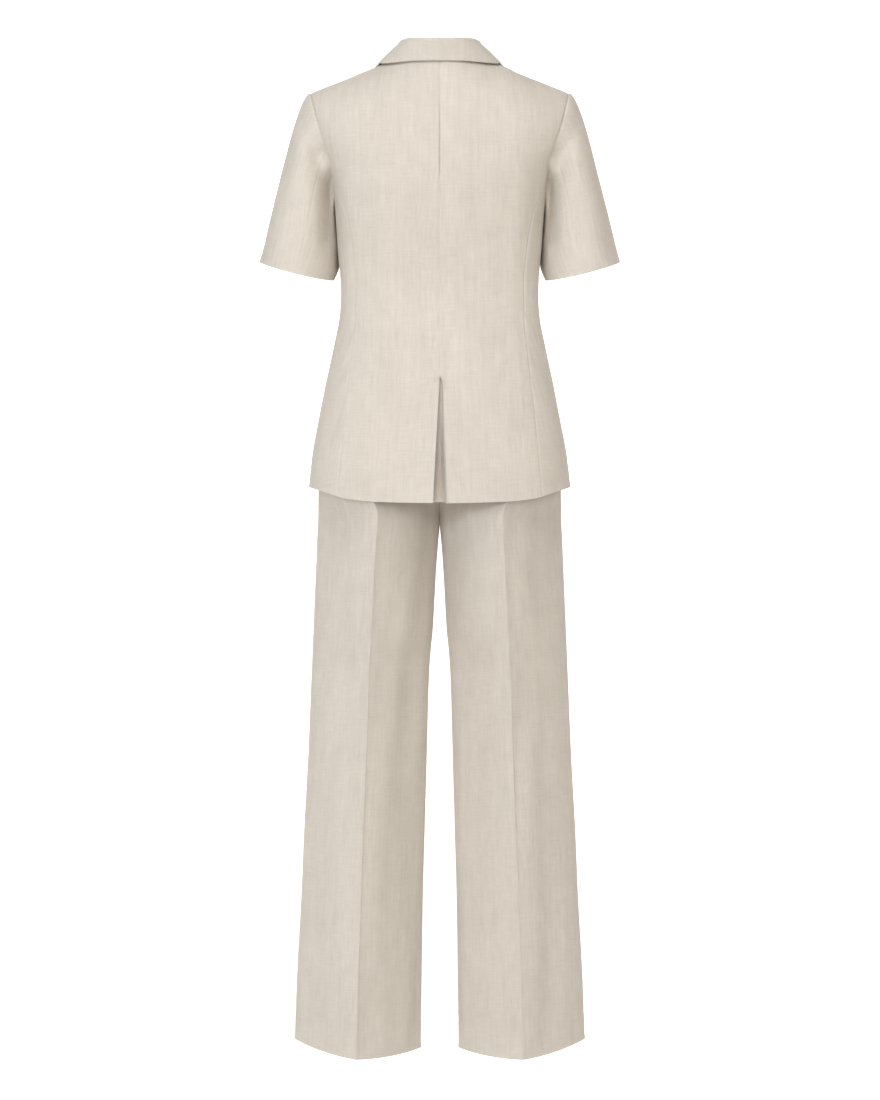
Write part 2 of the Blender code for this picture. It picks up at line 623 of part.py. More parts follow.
def shared_normals(panels):
    """Outward normals at all points, averaged where panels meet at a seam."""
    sums, counts = {}, {}
    for grid in panels.values():
        for i in range(grid.shape[0] - 1):
            for j in range(grid.shape[1] - 1):
                a, b, c, d = grid[i, j], grid[i, j + 1], grid[i + 1, j + 1], grid[i + 1, j]
                face = unit(np.cross(c - a, d - b))
                for key in map(spot, (a, b, c, d)):
                    sums[key] = sums.get(key, 0) + face
                    counts[key] = counts.get(key, 0) + 1
    normals = {}
    for name, grid in panels.items():
        found = np.array([[sums[spot(p)] for p in row] for row in grid])
        faces = np.array([[counts[spot(p)] for p in row] for row in grid])
        weak = np.linalg.norm(found, axis=-1) < WEAK_SHARE * faces
        weak[1:-1, 1:-1] = False
        found[weak] = (0, 0, -1)
        normals[name] = unit(found)
    return normals


def pulled_in(grid):
    """The grid with its border drawn half a seam's gap into the panel."""
    out = grid.copy()
    out[0] += RIM * unit(grid[1] - grid[0])
    out[-1] += RIM * unit(grid[-2] - grid[-1])
    out[:, 0] += RIM * unit(grid[:, 1] - grid[:, 0])
    out[:, -1] += RIM * unit(grid[:, -2] - grid[:, -1])
    return out


def add_object(name, verts, faces, material):
    mesh = bpy.data.meshes.new(name)
    mesh.from_pydata([tuple(map(float, v)) for v in verts], [], faces)
    bm = bmesh.new()
    bm.from_mesh(mesh)
    bmesh.ops.recalc_face_normals(bm, faces=bm.faces)
    bm.to_mesh(mesh)
    bm.free()
    mesh.shade_smooth()
    mesh.set_sharp_from_angle(angle=math.radians(50))
    mesh.materials.append(material)
    obj = bpy.data.objects.new(name, mesh)
    bpy.context.scene.collection.objects.link(obj)
    return obj


def add_wall(name, grid, normals, material):
    """A closed wall of cloth: the grid, the grid moved inwards, and a rim.

    The rim's diagonals run the same way on both sides of a seam, so the panels stay apart.
    """
    outer = pulled_in(grid)
    inner = outer - CLOTH * normals
    rows, cols = grid.shape[:2]
    verts = np.concatenate([outer.reshape(-1, 3), inner.reshape(-1, 3)])
    far = rows * cols
    at = np.arange(far).reshape(rows, cols)
    faces = []
    for i in range(rows - 1):
        for j in range(cols - 1):
            quad = [at[i, j], at[i, j + 1], at[i + 1, j + 1], at[i + 1, j]]
            faces.append([int(k) for k in quad])
            faces.append([int(k + far) for k in reversed(quad)])
    rim = list(at[0]) + list(at[1:, -1]) + list(at[-1, -2::-1]) + list(at[-2:0:-1, 0])
    spots = [spot(point) for point in grid.reshape(-1, 3)]
    for a, b in zip(rim, rim[1:] + rim[:1]):
        a, b = int(a), int(b)
        if spots[a] < spots[b]:
            faces += [[b, a, b + far], [a, a + far, b + far]]
        else:
            faces += [[b, a, a + far], [b, a + far, b + far]]
    return add_object(name, verts, faces, material)


def add_button(name, centre, normal, radius, thick, material):
    """A round button whose back lies on the cloth."""
    bm = bmesh.new()
    bmesh.ops.create_cone(
        bm,
        cap_ends=True,
        segments=BUTTON_TURNS,
        radius1=radius,
        radius2=radius * BUTTON_TAPER,
        depth=thick,
    )
    mesh = bpy.data.meshes.new(name)
    bm.to_mesh(mesh)
    bm.free()
    mesh.shade_smooth()
    mesh.set_sharp_from_angle(angle=math.radians(30))
    mesh.materials.append(material)
    obj = bpy.data.objects.new(name, mesh)
    obj.location = centre + normal * (thick / 2 + SEAM)
    obj.rotation_euler = Vector(normal).to_track_quat("Z", "Y").to_euler()
    bpy.context.scene.collection.objects.link(obj)
    return obj


def material(name, color, roughness):
    made = bpy.data.materials.new(name)
    made.use_nodes = True
    shader = made.node_tree.nodes["Principled BSDF"]
    shader.inputs["Base Color"].default_value = (*color, 1.0)
    shader.inputs["Roughness"].default_value = roughness
    shader.inputs["Metallic"].default_value = 0.0
    return made


def blazer_panels():
    over, under = sleeve_panels()
    side = side_panel()
    return {
        "blazer_back_left": back_panel(VENT_LEFT),
        "blazer_back_right": mirrored(back_panel(-VENT_RIGHT)),
        "blazer_side_left": side,
        "blazer_side_right": mirrored(side),
        "blazer_front_left": front_panel(0.0),
        "blazer_front_right": mirrored(front_panel(LAP_LIFT)),
        "sleeve_top_left": over,
        "sleeve_top_right": mirrored(over),
        "sleeve_under_left": under,
        "sleeve_under_right": mirrored(under),
    }


def trouser_panels():
    back, front = trouser_panel(1), trouser_panel(-1)
    return {
        "trouser_back_left": back,
        "trouser_back_right": mirrored(back),
        "trouser_front_left": front,
        "trouser_front_right": mirrored(front),
        "waistband": waistband_panel(),
    }


def loose_panels():
    return {
        "collar": collar_panel(),
        "lapel_left": lapel_panel(0.0),
        "lapel_right": mirrored(lapel_panel(LAP_LIFT)),
        "vent_underlap": vent_underlap(),
    }


def build():
    for obj in list(bpy.data.objects):
        bpy.data.objects.remove(obj)
    linen = material("linen", LINEN, 0.85)
    horn = material("horn", HORN, 0.35)
    for panels in (blazer_panels(), trouser_panels()):
        normals = shared_normals(panels)
        for name, grid in panels.items():
            add_wall(name, grid, normals[name], linen)
    for name, grid in loose_panels().items():
        add_wall(name, grid, shared_normals({name: grid})[name], linen)
    on_front = torso_point(0.0, BUTTON_Z, -1)
    out = torso_normal(on_front, -1)
    on_front = on_front + out * (LAP_LIFT + SEAM * 2)
    add_button("front_button", on_front, out, BUTTON_RADIUS, BUTTON_THICK, horn)
    centre = np.array(1.0)
    top, low = (pelvis_point(centre, np.array(z), -1) for z in (WAIST_TOP, WAIST_LOW))
    out = unit(np.cross(top - low, np.array([-1.0, 0.0, 0.0])))
    on_band = (top + low) / 2
    add_button("waist_button", on_band, out, WAIST_BUTTON_RADIUS, WAIST_BUTTON_THICK, horn)


build()
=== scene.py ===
"""Looks of the suit in the photo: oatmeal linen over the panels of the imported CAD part.

Metres, +Z up. The back faces +Y, where the camera stands, and the wearer's left is +X. Each
panel is drawn again from the part's own named values with finer steps, its seams, hems,
creases and soft folds, and replaces the CAD node of its name.
"""

import math

import bpy
import numpy as np
from mathutils import Matrix, Vector


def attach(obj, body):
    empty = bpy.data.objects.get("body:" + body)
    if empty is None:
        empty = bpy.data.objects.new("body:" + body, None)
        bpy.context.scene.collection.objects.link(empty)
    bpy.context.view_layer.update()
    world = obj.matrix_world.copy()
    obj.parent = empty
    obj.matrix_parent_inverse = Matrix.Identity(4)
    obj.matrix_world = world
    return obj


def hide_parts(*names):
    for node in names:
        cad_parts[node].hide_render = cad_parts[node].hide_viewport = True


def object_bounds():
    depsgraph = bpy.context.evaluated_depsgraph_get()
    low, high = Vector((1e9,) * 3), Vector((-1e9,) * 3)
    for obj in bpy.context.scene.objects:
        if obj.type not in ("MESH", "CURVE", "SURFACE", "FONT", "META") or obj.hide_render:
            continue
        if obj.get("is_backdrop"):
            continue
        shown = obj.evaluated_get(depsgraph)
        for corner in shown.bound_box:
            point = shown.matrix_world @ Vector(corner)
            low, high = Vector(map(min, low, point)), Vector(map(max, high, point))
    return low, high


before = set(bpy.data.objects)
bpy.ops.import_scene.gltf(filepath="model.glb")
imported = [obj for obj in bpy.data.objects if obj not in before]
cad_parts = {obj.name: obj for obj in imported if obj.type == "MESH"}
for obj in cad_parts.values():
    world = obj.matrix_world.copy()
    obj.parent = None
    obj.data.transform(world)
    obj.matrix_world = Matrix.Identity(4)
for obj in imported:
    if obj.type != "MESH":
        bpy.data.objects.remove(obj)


def plain(value):
    """Nested points as plain lists of numbers."""
    return value.tolist() if hasattr(value, "tolist") else [[float(x) for x in v] for v in value]


CAD_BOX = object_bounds()

# Cloth
CLOTH = 0.0018  # wall of every panel
SEAM = 0.0003  # gap between two panels at a seam
WEAK_SHARE = 0.55  # below this share of their count, the faces at a seam face each other
LIE = 0.0007  # gap under a layer that lies on a panel
LAPEL_LIE = 0.0012  # the same under a lapel, which spans more curve

# Blazer, in heights above the origin and distances from the centre line
HEM_CENTRE = -0.6420
HEM_SIDE = -0.6160
VENT_TOP = -0.4575
VENT_LEFT = 0.0098  # how far the vent's upper edge swings aside at the hem
VENT_RIGHT = -0.0085
VENT_OVERLAP = 0.018
VENT_DEPTH = 0.0137
VENT_INSET_LOW, VENT_INSET_TOP = 0.003, 0.006  # the underlap ends short of hem and vent top
VENT_SINK_FROM, VENT_SINK_OVER = 0.10, 0.75  # share of the vent below which it sinks inwards
VENT_SINK_SIDE, VENT_SINK_WIDTH = 0.006, 0.010
ARM_JOIN = -0.1780  # where the side panels' seams run into the armhole
ARM_CENTRE = -0.1650
ARM_LOW = -0.2050  # bottom of the armhole
SIDE_RISE = 0.012  # at the side, the row level with the vent's top lies this much higher
TIP_X, TIP_Z = 0.1890, -0.0378  # end of the shoulder seam
NECK_X, NECK_Y = 0.0700, 0.0550
NECK_ROUNDS = 8  # rounds in which the neck seam settles on the body's surface
SHOULDER_ROUND = 0.070  # height over which the shoulders round off
ROUNDNESS = 2.5
TOP_REACH, HEM_REACH = 0.55, 0.35  # share of a panel's height that its top and hem shape
TURN_REACH = 0.020  # half the height over which the straight front turns into the roll line
BREAK_Z = -0.3250  # where the lapels start to turn
FRONT_LAP = 0.0150  # each front's reach past the centre line
FRONT_CORNER = 0.040
LAP_LIFT = CLOTH + LAPEL_LIE  # the upper front lies over the lower one
LAP_FADE_X, LAP_FADE_Z = 0.050, 0.060  # where the upper front comes back to the body
LAP_RAMP_X, LAP_RAMP_Z = 0.032, 0.030  # width and height over which it does so
BUTTON_Z = -0.3420
BUTTON_RADIUS, BUTTON_THICK = 0.0105, 0.0032

TORSO_NAMES = "height half_width back front"
TORSO_ROWS = [
    (-0.6600, 0.1935, 0.1330, 0.1200),
    (-0.6160, 0.1915, 0.1310, 0.1190),
    (-0.5730, 0.1874, 0.1280, 0.1160),
    (-0.5200, 0.1786, 0.1200, 0.1120),
    (-0.4670, 0.1683, 0.1100, 0.1090),
    (-0.4150, 0.1566, 0.0970, 0.1050),
    (-0.3620, 0.1463, 0.0860, 0.1000),
    (-0.3350, 0.1447, 0.0830, 0.1000),
    (-0.3100, 0.1455, 0.0850, 0.1030),
    (-0.2760, 0.1485, 0.0920, 0.1100),
    (-0.2130, 0.1530, 0.1050, 0.1250),
    (-0.1680, 0.1605, 0.1100, 0.1240),
    (-0.1235, 0.1800, 0.1080, 0.1100),
    (-0.0850, 0.1970, 0.1020, 0.0940),
    (-0.0400, 0.2080, 0.0920, 0.0780),
    (0.0500, 0.2150, 0.0750, 0.0600),
]
SHOULDER_NAMES = "x height"
SHOULDER_ROWS = [(0.0, 0.0448), (0.040, 0.0282), (0.070, 0.0120), (0.0951, 0.0000), (0.189, -0.0378)]
HEM_NAMES = "x height"
HEM_ROWS = [
    (0.0, HEM_CENTRE),
    (0.090, -0.6395),
    (0.133, -0.6350),
    (0.176, -0.6215),
    (0.192, HEM_SIDE),
]
BACK_EDGE_NAMES = "height x"
BACK_EDGE_ROWS = [
    (-0.6400, 0.1490),
    (-0.5200, 0.1385),
    (-0.4400, 0.1300),
    (-0.3650, 0.1235),
    (-0.3146, 0.1230),
    (-0.2810, 0.1260),
    (-0.2510, 0.1300),
    (-0.2205, 0.1360),
    (-0.1870, 0.1495),
    (ARM_JOIN, 0.1535),
    (-0.1680, 0.1560),
    (-0.1410, 0.1600),
    (-0.1235, 0.1660),
    (-0.0850, 0.1790),
    (TIP_Z, TIP_X),
]
FRONT_EDGE_NAMES = "height x"
FRONT_EDGE_ROWS = [
    (-0.6400, 0.1400),
    (-0.5200, 0.1280),
    (-0.4400, 0.1180),
    (-0.3350, 0.1120),
    (-0.2500, 0.1250),
    (-0.2000, 0.1430),
    (ARM_JOIN, 0.1505),
    (-0.1500, 0.1530),
    (-0.1150, 0.1590),
    (-0.0750, 0.1740),
    (TIP_Z, TIP_X),
]

# Collar, from the centre back (share 0) over the shoulder to the gorge (share 1)
COLLAR_NAMES = "share fold_x fold_y fold_z edge_x edge_z"
COLLAR_RIDGE = 0.5
COLLAR_ROWS = [
    (0.00, 0.0000, 0.0530, 0.0350, 0.0000, -0.0022),
    (0.15, 0.0250, 0.0480, 0.0355, 0.0350, -0.0018),
    (0.30, 0.0438, 0.0320, 0.0378, 0.0675, -0.0022),
    (0.40, 0.0518, 0.0150, 0.0386, 0.0822, -0.0010),
    (COLLAR_RIDGE, 0.0573, -0.0040, 0.0376, 0.0886, 0.0024),
    (0.65, 0.0595, -0.0320, 0.0240, 0.1000, -0.0110),
    (0.80, 0.0592, -0.0610, -0.0080, 0.1040, -0.0310),
    (1.00, 0.0565, -0.0845, -0.0480, 0.0990, -0.0570),
]
COLLAR_TURN = 0.0032  # radius of the fold
COLLAR_BULGE, COLLAR_LIFT = 0.0005, 0.00025  # how far the fall bends outwards and upwards
GORGE_Z = -0.0530
LAPEL_NAMES = "share reach"
LAPEL_ROWS = [(0.0, 0.004), (0.25, 0.030), (0.6, 0.052), (1.0, 0.062)]
LAPEL_SLANT = (0.98, -0.10)  # direction from the roll line to the outer edge, x and z
LAPEL_POINT, LAPEL_POINT_DROP = 0.70, 0.012  # where the edge starts to drop to its point
LAPEL_FOOT, LAPEL_HEAD, LAPEL_ASIDE = 0.012, 0.002, 0.0015  # clear of break, gorge and roll line

# Sleeves
SLEEVE_OUT = (0.2650, -0.2837)  # outer corner of the hem, x and z
SLEEVE_IN = (0.1561, -0.3109)
SLEEVE_CENTRE_Y = -0.0100
SLEEVE_DEPTH = 0.0740  # half the sleeve's size from front to back
SLEEVE_BACK_DROP = 0.0100
SLEEVE_HEAD = (0.055, 0.0, 0.020)  # how the sleeve springs out from the shoulder
SLEEVE_HUG = (0.0092, 0.0240)  # how far the under sleeve leans to the body and to the front
SLEEVE_EASE = 1.25  # rows are closer together near the armhole
SLEEVE_FOLD_TURN = 0.035  # a fold fades out this near to the sleeve's side
SLEEVE_SPRING = (0.020, 0.0, 0.010)  # how the under sleeve springs out from the armhole
SLEEVE_FOLD_NAMES = "x0 z0 x1 z1 width depth"
SLEEVE_FOLD_ROWS = [
    (0.2040, -0.0820, 0.1790, -0.1320, 0.013, 0.0045),
    (0.1760, -0.1320, 0.1660, -0.1910, 0.014, 0.0070),
    (0.1600, -0.1700, 0.1560, -0.2550, 0.013, 0.0130),
]
SLEEVE_SEAM_BACK = 24  # steps down the armhole from the shoulder seam
SLEEVE_SEAM_FRONT = 20

# Trousers
WAIST_TOP, WAIST_LOW = -0.3650, -0.4000
HIP_LINE = -0.5600
CROTCH = -0.6630
LEG_HEM = -1.4325
LEG_SHAPE_TOP = -1.1500  # below it the rows bend into the shaped hem
LEG_HEM_TILT = 0.0065  # outer side of the hem is higher than the inner side
LEG_HEM_DROP = 0.0120  # back of the hem is lower than the front
QUARTER_WIDTH = 0.25  # width of a quarter of the trousers
CREASE_SHARP, CREASE_ROUND = 1.06, 0.76
PELVIS_NAMES = "height half_width back front"
PELVIS_ROWS = [
    (-0.3600, 0.1270, 0.0760, 0.0890),
    (-0.4000, 0.1360, 0.0860, 0.0940),
    (-0.4500, 0.1515, 0.0945, 0.0990),
    (-0.5000, 0.1630, 0.1030, 0.1020),
    (-0.5500, 0.1725, 0.1115, 0.1040),
    (-0.6000, 0.1770, 0.1145, 0.1050),
    (-0.7000, 0.1790, 0.1145, 0.1050),
]
LEG_NAMES = "height inner outer back front"
LEG_ROWS = [
    (-0.5600, 0.0000, 0.1780, 0.1160, 0.1000),
    (CROTCH, 0.0000, 0.1790, 0.1190, 0.0985),
    (-0.6940, 0.0024, 0.1804, 0.1165, 0.0975),
    (-0.7290, 0.0054, 0.1818, 0.1120, 0.0960),
    (-0.8000, 0.0098, 0.1848, 0.1040, 0.0935),
    (-0.9060, 0.0158, 0.1892, 0.0955, 0.0910),
    (-1.0110, 0.0186, 0.1936, 0.0905, 0.0895),
    (-1.1170, 0.0216, 0.1994, 0.0885, 0.0890),
    (-1.2230, 0.0245, 0.2039, 0.0880, 0.0895),
    (-1.3290, 0.0260, 0.2098, 0.0890, 0.0905),
    (-1.4450, 0.0275, 0.2141, 0.0900, 0.0915),
]
WAIST_BUTTON_RADIUS, WAIST_BUTTON_THICK = 0.0085, 0.0028

# Grid steps
VENT_STEPS, BODY_STEPS, ARM_STEPS = 60, 90, 32
NECK_STEPS, SHOULDER_STEPS, SIDE_STEPS = 20, 34, 20
SLEEVE_STEPS, COLLAR_STEPS, LAPEL_STEPS, UNDERLAP_STEPS = 60, 60, 70, 40
STAND_STEPS, TURN_STEPS, FALL_STEPS, LAPEL_ACROSS = 6, 8, 14, 16
WAIST_STEPS, CROTCH_STEPS, LEG_STEPS, QUARTER_STEPS = 24, 16, 110, 36
BAND_STEPS, BUTTON_TURNS = 2, 40

# Linen: size of a thread's slub across and along the panel, weight and detail
THREADS = [
    (0.0014, 0.030, 0.55, 2.0),
    (0.030, 0.0014, 0.45, 2.0),
    (0.0060, 0.120, 0.35, 2.0),
    (0.060, 0.110, 0.30, 2.0),
    (0.018, 0.026, 0.30, 2.0),
]
LINEN_DARK = (0.451, 0.404, 0.354)
LINEN_LIGHT = (0.667, 0.616, 0.550)


# Least size in a division, and the step over which a slope is measured
LEAST_LENGTH, LEAST_DEPTH = 1e-12, 1e-4
SLOPE_STEP = 1e-4


class Table:
    """Rows of named columns, read as a smooth curve over the first column."""

    def __init__(self, names, rows):
        values = np.array(sorted(rows), float).T
        self.keys = values[0]
        self.columns = dict(zip(names.split(), values))

    def at(self, name, key):
        keys, column = self.keys, self.columns[name]
        key = np.clip(key, keys[0], keys[-1])
        step = np.diff(keys)
        slope = np.diff(column) / step
        before, after = slope[:-1], slope[1:]
        product = before * after
        total = np.where(before + after == 0, 1.0, before + after)
        middle = np.where(product > 0, 2 * product / total, 0.0)
        tangent = np.concatenate([slope[:1], middle, slope[-1:]])
        i = np.clip(np.searchsorted(keys, key, side="right") - 1, 0, len(step) - 1)
        t = (key - keys[i]) / step[i]
        start = (1 + 2 * t) * (1 - t) ** 2 * column[i] + t * (1 - t) ** 2 * step[i] * tangent[i]
        end = t * t * (3 - 2 * t) * column[i + 1] + t * t * (t - 1) * step[i] * tangent[i + 1]
        return start + end


TORSO = Table(TORSO_NAMES, TORSO_ROWS)
SHOULDER = Table(SHOULDER_NAMES, SHOULDER_ROWS)
HEM = Table(HEM_NAMES, HEM_ROWS)
BACK_EDGE = Table(BACK_EDGE_NAMES, BACK_EDGE_ROWS)
FRONT_EDGE = Table(FRONT_EDGE_NAMES, FRONT_EDGE_ROWS)
COLLAR = Table(COLLAR_NAMES, COLLAR_ROWS)
LAPEL = Table(LAPEL_NAMES, LAPEL_ROWS)
PELVIS = Table(PELVIS_NAMES, PELVIS_ROWS)
LEG = Table(LEG_NAMES, LEG_ROWS)


def smooth(value):
    """An even ramp from 0 to 1."""
    value = np.clip(value, 0.0, 1.0)
    return value * value * (3 - 2 * value)


def unit(vectors):
    length = np.linalg.norm(vectors, axis=-1, keepdims=True)
    return vectors / np.maximum(length, LEAST_LENGTH)


def stack(x, y, z):
    return np.stack(np.broadcast_arrays(np.asarray(x, float), y, z), axis=-1)


def mirrored(grid):
    """The same panel on the other side, its columns turned so that it still faces out."""
    other = grid[:, ::-1].copy()
    other[..., 0] *= -1
    return other


# Shape of the blazer's body

def flat_depth(x, z, side):
    """Distance of the body's surface from the X axis, before the shoulders round off."""
    depth = TORSO.at("back" if side > 0 else "front", z)
    share = np.clip(np.abs(x) / TORSO.at("half_width", z), 0, 1)
    return depth * (1 - share**ROUNDNESS) ** (1 / ROUNDNESS)


def torso_y(x, z, side):
    """Y of the body's surface; side is 1 for the back and -1 for the front."""
    rise = np.clip((SHOULDER.at("height", np.abs(x)) - z) / SHOULDER_ROUND, 0, 1)
    return side * flat_depth(x, z, side) * np.sqrt(1 - (1 - rise) ** 2)


def torso_point(x, z, side):
    return stack(x, torso_y(x, z, side), z)


def torso_normal(points, side):
    """Outward direction of the body's surface, from the slope of its equation."""
    def equation(p):
        x, y, z = p[..., 0], p[..., 1], p[..., 2]
        over = np.maximum(z - SHOULDER.at("height", np.abs(x)) + SHOULDER_ROUND, 0)
        depth = np.maximum(flat_depth(x, z, side), LEAST_DEPTH)
        return (y / depth) ** 2 + (over / SHOULDER_ROUND) ** 2

    slope = [
        equation(points + SLOPE_STEP * axis) - equation(points - SLOPE_STEP * axis)
        for axis in np.eye(3)
    ]
    return unit(np.stack(slope, axis=-1))


def above_torso(x, z, side, lift):
    """A point that lies over the body's surface by a given lift."""
    points = torso_point(x, z, side)
    return points + np.asarray(lift)[..., None] * torso_normal(points, side)


def body_rows(low, vent, join, top):
    """Heights from the hem over the vent's top and the armhole's join up to the shoulder."""
    steps = np.sin(np.linspace(0, math.pi / 2, ARM_STEPS + 1))[1:]
    return np.concatenate([
        np.linspace(low, vent, VENT_STEPS + 1),
        np.linspace(vent, join, BODY_STEPS + 1)[1:],
        join + (top - join) * steps,
    ])


def fill(edge_a, edge_b, top, bottom, weights):
    """Points x, z between two side edges, drawn to the given top and bottom edges."""
    w = weights[None, :, None]
    grid = (1 - w) * edge_a[:, None, :] + w * edge_b[:, None, :]
    share = np.linspace(0, 1, len(edge_a))[:, None, None]
    upper = smooth((share + TOP_REACH - 1) / TOP_REACH)
    lower = smooth((HEM_REACH - share) / HEM_REACH)
    return grid + upper * (top - grid[-1])[None] + lower * (bottom - grid[0])[None]


def shoulder_line():
    """The shoulder seam from its tip to the side neck point, as x and z."""
    x = np.linspace(TIP_X, NECK_X, SHOULDER_STEPS + 1)
    return np.stack([x, SHOULDER.at("height", x)], axis=-1)


def neck_seam(turn):
    """The back neck's x and z; turn runs from 0 at the centre back to a quarter at the side."""
    x = NECK_X * np.sin(turn)
    z = SHOULDER.at("height", x)
    for _ in range(NECK_ROUNDS):
        share = np.clip(NECK_Y * np.cos(turn) / flat_depth(x, z, 1), 0, 1)
        z = SHOULDER.at("height", x) - SHOULDER_ROUND * (1 - np.sqrt(1 - share**2))
    return x, z


def neck_line():
    """The back neck from the side neck point to the centre back, as x and z."""
    return np.stack(neck_seam(np.linspace(math.pi / 2, 0, NECK_STEPS + 1)), axis=-1)


def armhole_edge(table):
    low = HEM.at("height", table.at("x", HEM_CENTRE))
    z = body_rows(low, VENT_TOP + SIDE_RISE, ARM_JOIN, TIP_Z)
    return np.stack([table.at("x", z), z], axis=-1)


def back_panel(vent_swing):
    """Left back, columns from the side to the centre; the vent's edge swings aside."""
    side = armhole_edge(BACK_EDGE)
    top = np.concatenate([shoulder_line(), neck_line()[1:]])
    z = body_rows(HEM_CENTRE, VENT_TOP, ARM_CENTRE, top[-1, 1])
    x = vent_swing * np.clip((VENT_TOP - z) / (VENT_TOP - HEM_CENTRE), 0, 1)
    centre = np.stack([x, z], axis=-1)
    weights = 1 - top[:, 0] / TIP_X
    foot = (1 - weights) * side[0, 0] + weights * centre[0, 0]
    bottom = np.stack([foot, HEM.at("height", np.abs(foot))], axis=-1)
    bottom[0] = side[0]
    flat = fill(side, centre, top, bottom, weights)
    return torso_point(flat[..., 0], flat[..., 1], 1)


def corner_arc(distance):
    """Rise of the rounded front corner at a distance from the edge."""
    inside = np.clip(FRONT_CORNER - distance, 0, FRONT_CORNER)
    return FRONT_CORNER - np.sqrt(FRONT_CORNER**2 - inside**2)


def roll_x(z):
    """The roll line, on which the lapel turns over."""
    return NECK_X * (z - BREAK_Z) / (SHOULDER.at("height", NECK_X) - BREAK_Z)


def lap_share(x, z):
    """How far the upper front is lifted over the lower one: all the way where they lap."""
    return smooth((LAP_FADE_X - x) / LAP_RAMP_X) * smooth((BREAK_Z + LAP_FADE_Z - z) / LAP_RAMP_Z)


def front_panel(lift):
    """Left front, columns from the front edge to the side; the upper layer is lifted."""
    side = armhole_edge(FRONT_EDGE)
    top = shoulder_line()[::-1]
    foot_z = HEM.at("height", 0.0)
    cut = FRONT_CORNER * (1 - math.sqrt(0.5))
    z = body_rows(foot_z + cut, VENT_TOP, ARM_CENTRE, top[0, 1])
    straight = -FRONT_LAP + corner_arc(z - foot_z)
    blend = smooth((z - BREAK_Z + TURN_REACH) / (2 * TURN_REACH))
    edge = np.stack([(1 - blend) * straight + blend * roll_x(z), z], axis=-1)
    weights = (top[:, 0] - NECK_X) / (TIP_X - NECK_X)
    foot = (1 - weights) * edge[0, 0] + weights * side[0, 0]
    bottom = np.stack([foot, HEM.at("height", np.abs(foot)) + corner_arc(foot + FRONT_LAP)], axis=-1)
    bottom[0], bottom[-1] = edge[0], side[0]
    flat = fill(edge, side, top, bottom, weights)
    points = torso_point(flat[..., 0], flat[..., 1], -1)
    points[..., 1] -= lift * lap_share(flat[..., 0], flat[..., 1])
    return points


def side_panel():
    """Left side panel, columns from its front seam to its back seam."""
    front, back = armhole_edge(FRONT_EDGE), armhole_edge(BACK_EDGE)
    count = VENT_STEPS + BODY_STEPS + 1
    w = np.linspace(0, 1, SIDE_STEPS + 1)[None, :]
    rise = np.linspace(0, 1, count)[:, None]
    z_front, z_back = front[:count, 1:], back[:count, 1:]
    bow = 1 - (2 * w - 1) ** 2
    z = (1 - w) * z_front + w * z_back + bow * (ARM_LOW - ARM_JOIN) * rise**4

    def angle(edge):
        share = np.clip(edge[:count, :1] / TORSO.at("half_width", edge[:count, 1:]), 0, 1)
        return np.arcsin(share ** (ROUNDNESS / 2))

    hem = HEM.at("height", TORSO.at("half_width", z[:1]) * np.ones_like(z[:1]))
    z = z + bow * (hem - z[:1]) * smooth((HEM_REACH - rise) / HEM_REACH)
    turn = (1 - w) * (math.pi - angle(front)) + w * angle(back)
    x = TORSO.at("half_width", z) * np.abs(np.sin(turn)) ** (2 / ROUNDNESS)
    reach = np.abs(np.cos(turn)) ** (2 / ROUNDNESS)
    depth = np.where(turn < math.pi / 2, TORSO.at("back", z), -TORSO.at("front", z))
    points = stack(x, depth * reach, z)
    points[:, 0] = torso_point(front[:count, 0], front[:count, 1], -1)
    points[:, -1] = torso_point(back[:count, 0], back[:count, 1], 1)
    return points


def vent_underlap():
    """The right back's extension, which lies behind the vent's upper edge."""
    z = np.linspace(HEM_CENTRE + VENT_INSET_LOW, VENT_TOP - VENT_INSET_TOP, VENT_STEPS + 1)[:, None]
    open_share = (VENT_TOP - z) / (VENT_TOP - HEM_CENTRE)
    low, high = VENT_RIGHT * open_share, VENT_LEFT * open_share
    w = np.linspace(1, 0, UNDERLAP_STEPS + 1)[None, :]
    x = low - VENT_OVERLAP + w * (high - low + 2 * VENT_OVERLAP)
    inside = smooth((x - low + VENT_SINK_SIDE) / VENT_SINK_WIDTH)
    inside = inside * smooth((open_share - VENT_SINK_FROM) / VENT_SINK_OVER)
    return above_torso(x, z * np.ones_like(x), 1, -(CLOTH + LIE) - VENT_DEPTH * inside)


# Collar and lapels

